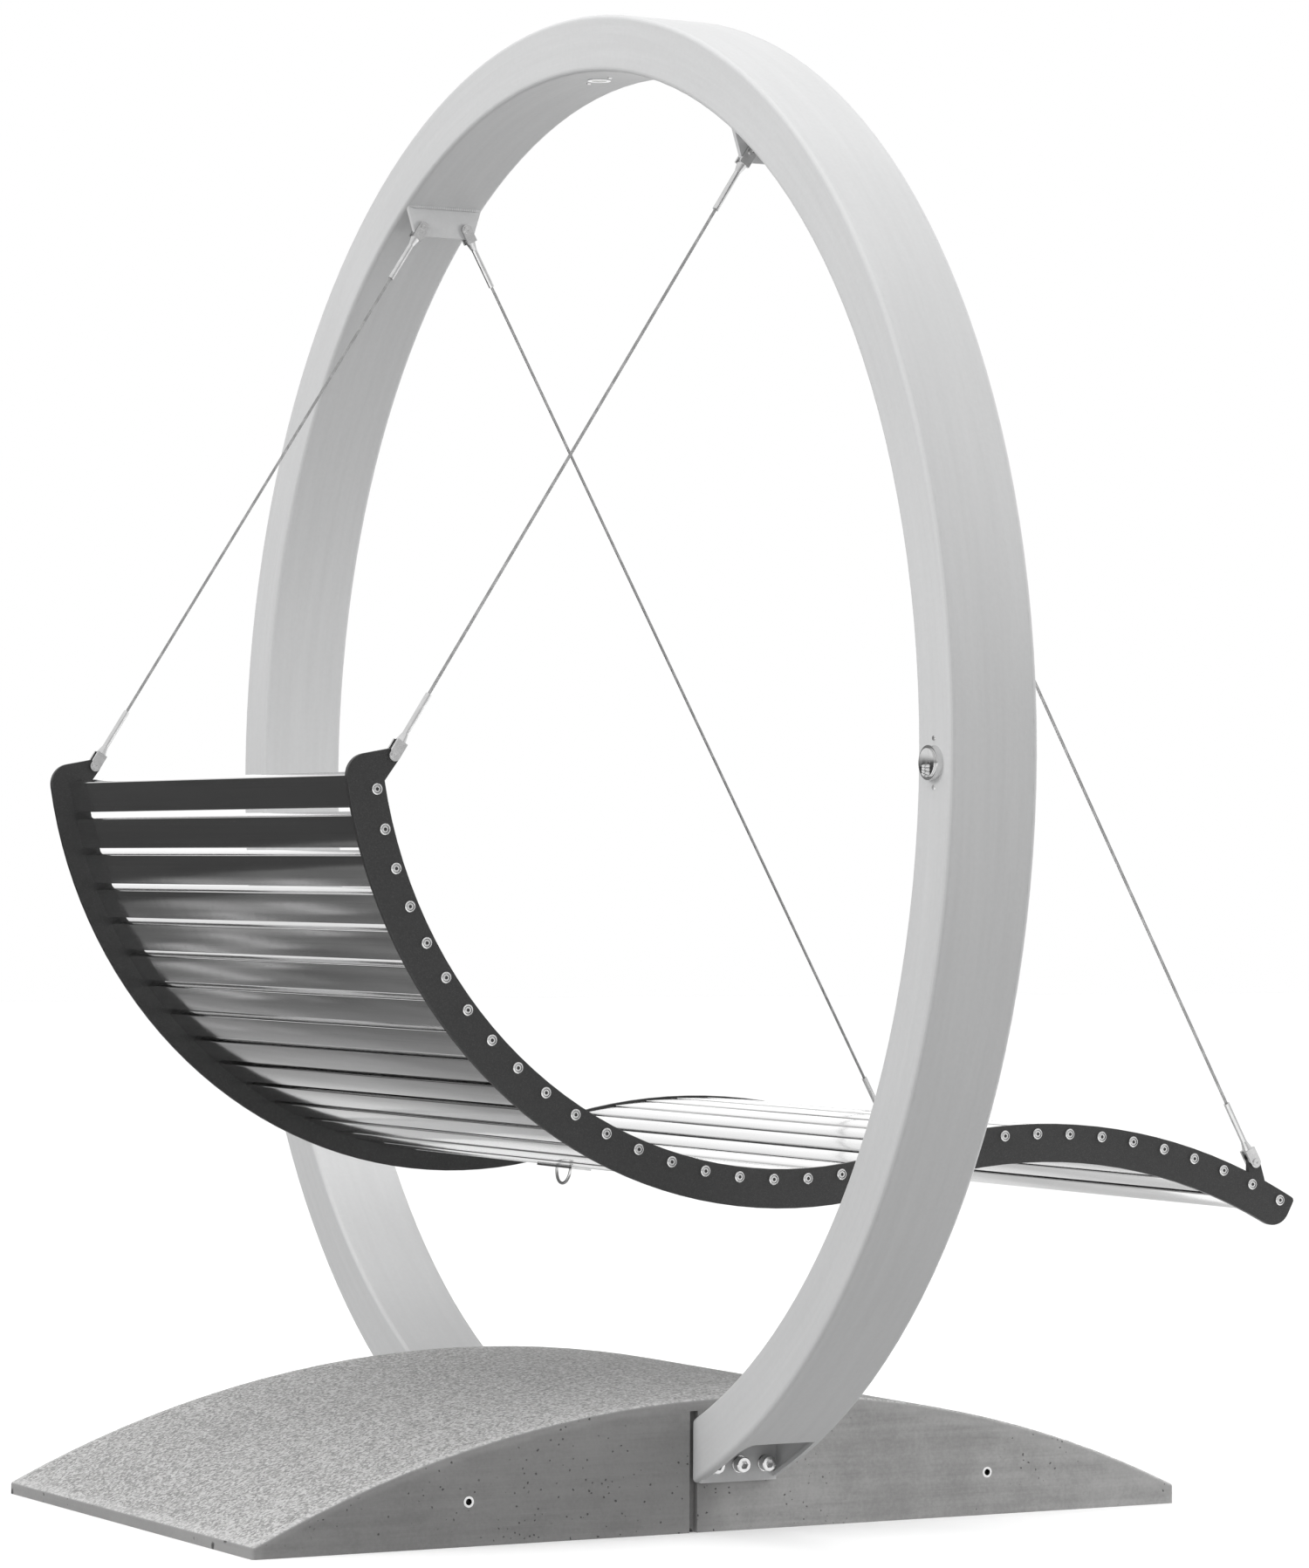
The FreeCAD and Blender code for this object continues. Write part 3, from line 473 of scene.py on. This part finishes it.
# geometry nodes: a small builder, in the same manner as the shader wires
class Graph:
    def __init__(self, name, inputs):
        self.tree = bpy.data.node_groups.new(name, "GeometryNodeTree")
        face = self.tree.interface
        face.new_socket("Geometry", in_out="INPUT", socket_type="NodeSocketGeometry")
        face.new_socket("Geometry", in_out="OUTPUT", socket_type="NodeSocketGeometry")
        for label, (kind, value) in inputs.items():
            made = face.new_socket(label, in_out="INPUT", socket_type="NodeSocket" + kind)
            if kind == "Float":
                made.default_value = value
        self.start = self.tree.nodes.new("NodeGroupInput")

    def given(self, label):
        return self.start.outputs[label]

    def node(self, kind, settings=None, sockets=None, out=0):
        made = self.tree.nodes.new(kind)
        for name, value in (settings or {}).items():
            setattr(made, name, value)
        for name, value in (sockets or {}).items():
            if isinstance(value, bpy.types.NodeSocket):
                self.tree.links.new(value, made.inputs[name])
            else:
                made.inputs[name].default_value = value
        return made.outputs[out]

    def maths(self, operation, *values):
        return self.node("ShaderNodeMath", {"operation": operation}, dict(enumerate(values)))

    def finish(self, geometry):
        realized = self.node("GeometryNodeRealizeInstances", None, {0: geometry})
        painted = self.node("GeometryNodeSetMaterial", None,
                            {"Geometry": realized, "Material": self.given("Finish")})
        end = self.tree.nodes.new("NodeGroupOutput")
        self.tree.links.new(painted, end.inputs[0])


def runGraph(name, source, graph, values):
    # sets the inputs by identifier, evaluates once and keeps a plain mesh
    modifier = source.modifiers.new("graph", "NODES")
    modifier.node_group = graph.tree
    for item in graph.tree.interface.items_tree:
        if item.item_type == "SOCKET" and item.in_out == "INPUT" and item.name in values:
            modifier[item.identifier] = values[item.name]
    bpy.context.view_layer.update()
    depsgraph = bpy.context.evaluated_depsgraph_get()
    mesh = bpy.data.meshes.new_from_object(source.evaluated_get(depsgraph), depsgraph=depsgraph)
    source.modifiers.remove(modifier)
    data = source.data
    bpy.data.objects.remove(source)
    if data.users == 0:
        bpy.data.batch_remove([data])
    mesh.name = name
    piece = bpy.data.objects.new(name, mesh)
    scene.collection.objects.link(piece)
    return piece


def lineObject(name, points):
    curve = bpy.data.curves.new(name, "CURVE")
    curve.dimensions = "3D"
    spline = curve.splines.new("POLY")
    spline.points.add(len(points) - 1)
    for point, place in zip(spline.points, points):
        point.co = (*place, 1)
    made = bpy.data.objects.new(name, curve)
    scene.collection.objects.link(made)
    return made


def meshObject(name, vertices, faces, smooth=True):
    mesh = bpy.data.meshes.new(name)
    mesh.from_pydata(vertices, [], faces)
    mesh.validate()
    for polygon in mesh.polygons:
        polygon.use_smooth = smooth
    made = bpy.data.objects.new(name, mesh)
    scene.collection.objects.link(made)
    return made


def sharpen(piece, degrees):
    piece.data.set_sharp_from_angle(angle=math.radians(degrees))


# the screw line: the curve that the slats' middles lie on, one arc of the seat and one of the leg rest
screwLine = {
    "start": (-0.6654, 1.1291),
    "heading": -79.44,
    "seatRadius": 0.718,
    "seatLength": 1.189,
    "legRadius": 0.975,
    "pitch": 0.0603,
    "count": 33,
}


def onScrewLine(run):
    # the place (y, z) at a length along the line
    heading = math.radians(screwLine["heading"])
    y, z = screwLine["start"]
    radius = screwLine["seatRadius"]
    bend = min(run, screwLine["seatLength"]) / radius
    y += radius * (math.sin(heading + bend) - math.sin(heading))
    z -= radius * (math.cos(heading + bend) - math.cos(heading))
    heading += bend
    if run > screwLine["seatLength"]:
        radius = screwLine["legRadius"]
        bend = (run - screwLine["seatLength"]) / radius
        y -= radius * (math.sin(heading - bend) - math.sin(heading))
        z += radius * (math.cos(heading - bend) - math.cos(heading))
    return y, z


def screwPoints():
    return [(0, *onScrewLine(number * screwLine["pitch"])) for number in range(screwLine["count"])]


def headedPoints(graph):
    # points on the line, each turned about X to the line's heading
    spots = graph.node("GeometryNodeCurveToPoints", {"mode": "EVALUATED"}, {0: graph.given("Geometry")})
    source = spots.node
    parts = graph.node("ShaderNodeSeparateXYZ", None, {0: source.outputs["Tangent"]}).node
    lean = graph.maths("ARCTAN2", parts.outputs[2], parts.outputs[1])
    turn = graph.node("ShaderNodeCombineXYZ", None, {0: lean})
    return source.outputs["Points"], turn


slatSizes = {"Length": 1.1115, "Width": 0.050, "Thickness": 0.025, "Corner": 0.002}
slatCornerSteps = 4
slatSharpAngle = 12  # degrees, past which two faces meet in a sharp edge


def makeSlats():
    graph = Graph("slatRow", {**{name: ("Float", value) for name, value in slatSizes.items()},
                              "Finish": ("Material", None)})
    section = graph.node("GeometryNodeCurvePrimitiveQuadrilateral", {"mode": "RECTANGLE"},
                         {0: graph.given("Width"), 1: graph.given("Thickness")})
    section = graph.node("GeometryNodeFilletCurve", {"mode": "POLY"},
                         {"Curve": section, "Count": slatCornerSteps, "Radius": graph.given("Corner")})
    half = graph.maths("MULTIPLY", graph.given("Length"), 0.5)
    left = graph.node("ShaderNodeCombineXYZ", None, {0: graph.maths("MULTIPLY", half, -1.0)})
    right = graph.node("ShaderNodeCombineXYZ", None, {0: half})
    axis = graph.node("GeometryNodeCurvePrimitiveLine", None, {"Start": left, "End": right})
    bar = graph.node("GeometryNodeCurveToMesh", None, {0: axis, 1: section, "Fill Caps": True})
    points, turn = headedPoints(graph)
    graph.finish(graph.node("GeometryNodeInstanceOnPoints", None,
                            {"Points": points, "Instance": bar, "Rotation": turn}))
    values = {**slatSizes, "Finish": finishes["slat_aluminium"]}
    slats = runGraph("slatRow", lineObject("slatLine", screwPoints()), graph, values)
    sharpen(slats, slatSharpAngle)
    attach(slats, "lounger")
    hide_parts(*[name for name in nodes if name.startswith("slats_")])
    return slats


slats = makeSlats()
print("slats made", len(slats.data.polygons), [round(v, 3) for v in slats.dimensions])


def lathe(name, profile, turns):
    # a profile of (along X, radius) turned about X; it closes on the axis or on itself
    vertices, faces = [], []
    for along, radius in profile:
        for n in range(turns):
            angle = 2 * math.pi * n / turns
            vertices.append((along, radius * math.cos(angle), radius * math.sin(angle)))
    for ring in range(len(profile) - 1):
        for n in range(turns):
            m = (n + 1) % turns
            faces.append((ring * turns + n, (ring + 1) * turns + n, (ring + 1) * turns + m, ring * turns + m))
    made = meshObject(name, vertices, faces)
    clean(made)
    return made


def clean(piece):
    work = bmesh.new()
    work.from_mesh(piece.data)
    bmesh.ops.remove_doubles(work, verts=work.verts, dist=1e-7)
    bmesh.ops.recalc_face_normals(work, faces=work.faces)
    work.to_mesh(piece.data)
    work.free()


fastenerSizes = {
    "seat": 0.564,
    "turns": 24,
    "washerRadius": 0.0085,
    "washerHeight": 0.0036,
    "rim": 0.0024,
    "rimSlope": 0.0009,
    "rimTop": 0.0013,
    "edge": 0.0003,
    "hollow": 0.0061,
    "hollowFloor": 0.0004,
    "headTurns": 12,
    "headRadius": 0.0054,
    "headHeight": 0.0031,
    "headDrop": 0.0005,
    "headSlope": 0.0006,
    "socketRadius": 0.0026,
    "socketDepth": 0.0028,
    "socketEdge": 0.0002,
    # a dark plug in each screw socket, painted shade
    "shadePlugTurns": 6,
    "shadePlugGap": 0.0001,
    "shadePlugTop": 0.0009,
    "shadePlugDepth": 0.0026,
    "sharpAngle": 35,
}


def washerShape(s):
    top, edge = s["washerHeight"], s["edge"]
    profile = [(0.0, s["headRadius"]), (0.0, s["washerRadius"]), (s["rim"], s["washerRadius"]),
               (top - edge, s["washerRadius"] - s["rimSlope"]), (top, s["washerRadius"] - s["rimTop"]),
               (top, s["hollow"] + edge), (top - edge, s["hollow"]),
               (s["hollowFloor"], s["hollow"] - edge), (0.0, s["headRadius"])]
    return lathe("cupWasherShape", profile, s["turns"])


def screwShape(s):
    top, radius, edge = s["headHeight"], s["headRadius"], s["socketEdge"]
    profile = [(0.0, 0.0), (0.0, radius), (top - s["headDrop"], radius), (top, radius - s["headSlope"]),
               (top, s["socketRadius"] + edge), (top - edge, s["socketRadius"]),
               (top - s["socketDepth"], s["socketRadius"]), (top - s["socketDepth"], 0.0)]
    return lathe("screwHeadShape", profile, s["headTurns"])


def socketShadeShape(s):
    # a dark plug deep in each socket: painted shade that stands in for the shadow down in the socket
    low, high = s["headHeight"] - s["shadePlugDepth"], s["headHeight"] - s["shadePlugTop"]
    radius = s["socketRadius"] - s["shadePlugGap"]
    profile = [(low, 0.0), (low, radius), (high, radius), (high, 0.0)]
    return lathe("socketGrimeShape", profile, s["shadePlugTurns"])


def fastenerGraph():
    # the same shape at both ends of every slat, facing outwards
    graph = Graph("fastenerRow", {"Seat": ("Float", fastenerSizes["seat"]), "Shape": ("Object", None),
                                  "Finish": ("Material", None)})
    shape = graph.node("GeometryNodeObjectInfo", None, {"Object": graph.given("Shape")}, 4)
    points, turn = headedPoints(graph)
    both = graph.tree.nodes.new("GeometryNodeJoinGeometry")
    rows = []
    for side in (-1.0, 1.0):
        away = graph.maths("MULTIPLY", graph.given("Seat"), side)
        away = graph.node("ShaderNodeCombineXYZ", None, {0: away})
        moved = graph.node("GeometryNodeSetPosition", None, {0: points, "Offset": away})
        facing = (0.0, 0.0, math.pi if side < 0 else 0.0)
        turned = graph.node("GeometryNodeTransform", None, {"Geometry": shape, "Rotation": facing})
        rows.append(graph.node("GeometryNodeInstanceOnPoints", None,
                               {"Points": moved, "Instance": turned, "Rotation": turn}))
    for row in rows:
        graph.tree.links.new(row, both.inputs[0])
    graph.finish(both.outputs[0])
    return graph


def makeFasteners():
    s = fastenerSizes
    graph = fastenerGraph()
    made = []
    # the third row is painted shade: dark plugs standing in for the shadow in the screw sockets
    for name, shape, node, slot in (("cupWashers", washerShape(s), "cup_washers", "stainless"),
                                    ("slatScrews", screwShape(s), "slat_screws", "stainless"),
                                    ("socketGrime", socketShadeShape(s), None, "black_plastic")):
        values = {"Seat": s["seat"], "Shape": shape, "Finish": finishes[slot]}
        row = runGraph(name, lineObject(name + "Line", screwPoints()), graph, values)
        sharpen(row, s["sharpAngle"])
        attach(row, "lounger")
        if node:
            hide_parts(node)
        made.append(row)
        bpy.data.objects.remove(shape)
    return made


fasteners = makeFasteners()
print("fasteners made", [len(row.data.polygons) for row in fasteners])

# wire ropes: six strands laid round a core, between the fork ends
ropeSizes = {"Radius": 0.0025, "Lay": 0.030, "Strands": 6.0, "Groove": 0.00075, "Step": 0.0022}
ropeEnds = {
    "head": ((-0.041, 2.107), (-0.638, 1.179)),
    "foot": ((0.041, 2.107), (0.901, 0.551)),
}
ropePoints = 36  # round the section
ropeReach = 0.062  # from a pin to the rope's end in the fork


def ropeGraph():
    inputs = {name: ("Float", value) for name, value in ropeSizes.items()}
    graph = Graph("ropeStrands", {**inputs, "Finish": ("Material", None)})
    line = graph.node("GeometryNodeResampleCurve", {"mode": "LENGTH"},
                      {"Curve": graph.given("Geometry"), "Length": graph.given("Step")})
    run = graph.node("GeometryNodeSplineParameter", None, None, 1)
    twist = graph.maths("MULTIPLY", graph.maths("DIVIDE", run, graph.given("Lay")), 2 * math.pi)
    line = graph.node("GeometryNodeSetCurveTilt", None, {"Curve": line, "Tilt": twist})
    circle = graph.node("GeometryNodeCurvePrimitiveCircle", {"mode": "RADIUS"},
                        {"Resolution": ropePoints, "Radius": graph.given("Radius")})
    place = graph.node("GeometryNodeInputPosition")
    parts = graph.node("ShaderNodeSeparateXYZ", None, {0: place}).node
    angle = graph.maths("ARCTAN2", parts.outputs[1], parts.outputs[0])
    half = graph.maths("MULTIPLY", graph.maths("MULTIPLY", angle, graph.given("Strands")), 0.5)
    crest = graph.maths("ABSOLUTE", graph.maths("COSINE", half))
    dip = graph.maths("MULTIPLY", graph.maths("SUBTRACT", 1.0, crest), graph.given("Groove"))
    share = graph.maths("SUBTRACT", 1.0, graph.maths("DIVIDE", dip, graph.given("Radius")))
    lobed = graph.node("ShaderNodeVectorMath", {"operation": "SCALE"}, {0: place, "Scale": share})
    section = graph.node("GeometryNodeSetPosition", None, {0: circle, "Position": lobed})
    graph.finish(graph.node("GeometryNodeCurveToMesh", None, {0: line, 1: section, "Fill Caps": True}))
    return graph


def makeRopes():
    graph = ropeGraph()
    made = []
    for end, (upper, lower) in ropeEnds.items():
        for side, word in ((-1, "left"), (1, "right")):
            top = Vector((side * ropePlane, *upper))
            bottom = Vector((side * ropePlane, *lower))
            along = (bottom - top).normalized()
            points = (top + along * ropeReach, bottom - along * ropeReach)
            values = {**ropeSizes, "Finish": finishes["wire_rope"]}
            rope = runGraph(end + word.capitalize() + "Rope", lineObject("ropeLine", points), graph, values)
            for polygon in rope.data.polygons:
                polygon.use_smooth = True
            node = end + "_" + word + "_rope"
            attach(rope, end + "_" + word + "_hanger")
            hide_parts(node)
            made.append(rope)
    return made


ropes = makeRopes()
print("ropes made", [len(rope.data.polygons) for rope in ropes])

# weld beads where the hanger plates meet the inner band
beadSizes = {
    "radius": 0.0035,
    "ringRadius": 1.110,
    "sink": 0.0004,
    "halfLength": 0.068,
    "halfPlate": 0.004,
    "standOff": 0.0008,
    "ripples": 46,
    "rippleSteps": 4,
    "rippleHeight": 0.13,
    "across": 10,
}


def weldBead(x, vertices, faces):
    # a rippled rod along Y that thins out at both ends
    s = beadSizes
    z = ringMiddle + math.sqrt(s["ringRadius"] ** 2 - x * x) - s["sink"]
    across = s["across"]
    first = len(vertices)
    steps = s["ripples"] * s["rippleSteps"]
    for step in range(steps + 1):
        share = 2 * step / steps - 1
        ends = min(1.0, 6 * (1 - abs(share)) + 0.15)
        wave = math.sin(2 * math.pi * step / s["rippleSteps"] + 0.8 * math.sin(step * 0.37))
        radius = s["radius"] * ends * (1 + s["rippleHeight"] * wave)
        y = s["halfLength"] * share
        for n in range(across):
            angle = 2 * math.pi * n / across
            vertices.append((x + radius * math.cos(angle), y, z + radius * math.sin(angle)))
    for step in range(steps):
        a = first + step * across
        b = a + across
        for n in range(across):
            m = (n + 1) % across
            faces.append((a + n, a + m, b + m, b + n))
    last = first + steps * across
    faces.append(tuple(first + n for n in range(across)))
    faces.append(tuple(last + n for n in reversed(range(across))))


def makeWeldBeads():
    vertices, faces = [], []
    for side in (-1, 1):
        for face in (-1, 1):
            x = side * ropePlane + face * (beadSizes["halfPlate"] + beadSizes["standOff"])
            weldBead(x, vertices, faces)
    beads = meshObject("hangerWelds", vertices, faces)
    clean(beads)
    beads.data.materials.append(finishes["ring_paint"])
    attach(beads, "ring_and_base")
    return beads


beads = makeWeldBeads()
print("welds made", len(beads.data.polygons))

# studio: a pale floor, a bright surround and three soft lights, with a dark card and a patterned mat
# that only reflections show
studio = {
    "floorSize": 60.0,
    "horizon": 0.85,
    "zenith": 1.0,
    "headDim": 0.90,  # on the lounger's head side, low down
    "headPatches": 0.12,
    "rightDim": 0.40,  # towards +X
    "behindLift": 0.6,  # towards -X
    "ground": 0.45,
    "seen": 1.0,  # what the camera itself sees of the surround
    "matLow": (-5.0, -6.0),
    "matHigh": (-0.56, 3.5),
    "matHeight": 0.002,
    "flagPlace": (-3.2, -1.9),
    "flagFaces": (0.92, 0.39),
    "flagWidth": 9.0,
    "flagHeight": 1.05,
}
lights = {
    "keyLight": {"place": (0.5, -7.5, 4.5), "target": (0, 0, 1.1), "size": 4.0, "power": 230},
    "topLight": {"place": (0.5, 0.0, 7.0), "target": (0, 0, 0.6), "size": 5.0, "power": 90},
    "innerLight": {"place": (1.5, 3.0, 1.6), "target": (-1.1, 0, 1.2), "size": 1.6, "power": 45},
}
floorLook = {"colour": grey(0.88), "lightColour": grey(0.92), "roughness": 0.75, "depth": 0.0002,
             "glow": 0.16}
cardLook = {"colour": grey(0.065), "lightColour": grey(0.13), "roughness": 0.9}
matLook = {
    "colour": grey(0.07),
    "lightColour": grey(0.92),
    "roughness": 0.9,
    "slope": 2.33,  # lines of this slope come out upright in each slat
    "strips": (  # middle, reach along Y, width, strength
        (0.89, -1.4, 0.11, 0.62),
        (0.27, -1.1, 0.10, 0.62),
        (-0.26, -0.85, 0.10, 0.6),
        (-0.93, -0.57, 0.09, 0.25),
        (0.42, -1.4, 0.2, 0.2),
        (0.05, -0.85, 0.09, 0.16),
        (-0.67, -0.57, 0.09, 0.16),
    ),
}


def paleFloor(wire, look):
    place = objectPlace(wire)
    shade = noise(wire, place, 0.6).tint(look["colour"], look["lightColour"])
    fine = noise(wire, place, 220, 2)
    return {"Base Color": shade, "Roughness": look["roughness"] + fine * 0.1,
            "Normal": bump(wire, fine, look["depth"], 0.3), "Specular IOR Level": 0.2,
            "Emission Color": shade, "Emission Strength": look["glow"]}


def darkCard(wire, look):
    # painted reflection: a dark sheet with lighter patches that darkens the upper slats and other shiny parts
    patches = noise(wire, objectPlace(wire), 1.1, 3, 0.6).step(0.56, 0.7)
    return {"Base Color": patches.tint(look["colour"], look["lightColour"]),
            "Roughness": look["roughness"] - patches * 0.1}


def patchyMat(wire, look):
    # painted reflection for the slats: dark ground with bright strips, lighter near the seat
    x, y, _ = axesOf(wire, objectPlace(wire))
    run = x - y * look["slope"]
    unrolled = wire.node("ShaderNodeCombineXYZ", None, {0: run, 1: y})
    broad = noise(wire, stretched(wire, unrolled, (1.4, 0.7, 1)), 2.6, 2)
    streaks = noise(wire, stretched(wire, unrolled, (1, 0.15, 1)), 24, 3, 0.75)
    near = y.step(-0.85, 0.7) * (1 - x.step(-1.75, -1.0) * 0.35)
    shade = near * 0.72 + broad.step(0.42, 0.72) * 0.16 + (streaks - 0.5) * (near * 1.1 + 0.16)
    for middle, reach, width, strength in look["strips"]:
        away = run - middle + broad * 0.1 - 0.05
        strip = 1 - away.absolute().step(width * 0.4, width)
        shade = shade + strip * (1 - (y - reach).absolute().step(0.11, 0.16)) * strength
    shade = shade.atLeast(0.0).atMost(1.0)
    return {"Base Color": shade.tint(look["colour"], look["lightColour"]),
            "Roughness": look["roughness"] - broad * 0.1}


def levelCorners(low, high, height):
    corners = (low, (high[0], low[1]), high, (low[0], high[1]))
    return [(*corner, height) for corner in corners]


def makeFloor():
    half = studio["floorSize"] / 2
    floor = meshObject("floor", levelCorners((-half, -half), (half, half), 0), [(0, 1, 2, 3)], False)
    floor.data.materials.append(makeFinish("paleFloor", paleFloor, floorLook))
    floor.visible_diffuse = False


def onlyMirrored(name, corners, recipe, look):
    # a sheet that the camera, soft light and shadows pass over
    sheet = meshObject(name, corners, [(0, 1, 2, 3)], False)
    sheet.data.materials.append(makeFinish(name, recipe, look))
    sheet.visible_camera = False
    sheet.visible_diffuse = False
    sheet.visible_shadow = False


def makeFlag():
    middle = Vector((*studio["flagPlace"], 0))
    faces = Vector((*studio["flagFaces"], 0)).normalized()
    across = Vector((-faces.y, faces.x, 0)) * (studio["flagWidth"] / 2)
    rise = Vector((0, 0, studio["flagHeight"]))
    corners = (middle - across, middle + across, middle + across + rise, middle - across + rise)
    onlyMirrored("darkFlag", [tuple(corner) for corner in corners], darkCard, cardLook)


def makeMat():
    corners = levelCorners(studio["matLow"], studio["matHigh"], studio["matHeight"])
    onlyMirrored("patchyMat", corners, patchyMat, matLook)


def addLight(name, place, target, size, power):
    data = bpy.data.lights.new(name, "AREA")
    data.shape = "DISK"
    data.size = size
    data.energy = power
    light = bpy.data.objects.new(name, data)
    light.location = place
    light.rotation_euler = (Vector(target) - Vector(place)).to_track_quat("-Z", "Y").to_euler()
    light.visible_camera = False
    light.visible_glossy = False
    scene.collection.objects.link(light)


def skyGlow(wire):
    # bright above, low down dimmer on the head side and towards +X and lifted towards -X, dim below ground
    way = wire.node("ShaderNodeTexCoord", out=0)
    x, y, z = axesOf(wire, way)
    low = 1 - z.step(-0.02, 0.45)
    headSide = (0 - (x * 0.8 + y * 0.6)).step(0.5, 0.9) * (1 - z.step(0.0, 0.16))
    headDim = studio["headDim"] - noise(wire, way, 5, 2).step(0.45, 0.62) * studio["headPatches"]
    rightSide = x.step(0.1, 0.9)
    glow = studio["horizon"] + z.step(-0.02, 0.9) * (studio["zenith"] - studio["horizon"])
    glow = glow * (1 - low * (headSide * headDim + rightSide * studio["rightDim"]))
    glow = glow + (y * 0.5 - x * 0.86).step(0.8, 0.98) * low * studio["behindLift"]
    under = (0 - z).step(0.0, 0.08)
    return glow * (1 - under) + under * studio["ground"]


def makeWorld():
    world = bpy.data.worlds.new("surround")
    scene.world = world
    world.use_nodes = True
    tree = world.node_tree
    tree.nodes.clear()
    wire = Wire(tree)
    white = (1, 1, 1, 1)
    lit = wire.node("ShaderNodeBackground", None, {"Color": white, "Strength": skyGlow(wire)})
    plain = wire.node("ShaderNodeBackground", None, {"Color": white, "Strength": studio["seen"]})
    both = wire.node("ShaderNodeMixShader", None, {0: wire.node("ShaderNodeLightPath"), 1: lit, 2: plain})
    end = tree.nodes.new("ShaderNodeOutputWorld")
    tree.links.new(both.socket, end.inputs["Surface"])


makeFloor()
makeWorld()
makeFlag()
makeMat()
for name, light in lights.items():
    addLight(name, **light)
scene.view_settings.view_transform = "Standard"
print("studio made")

bpy.context.view_layer.update()
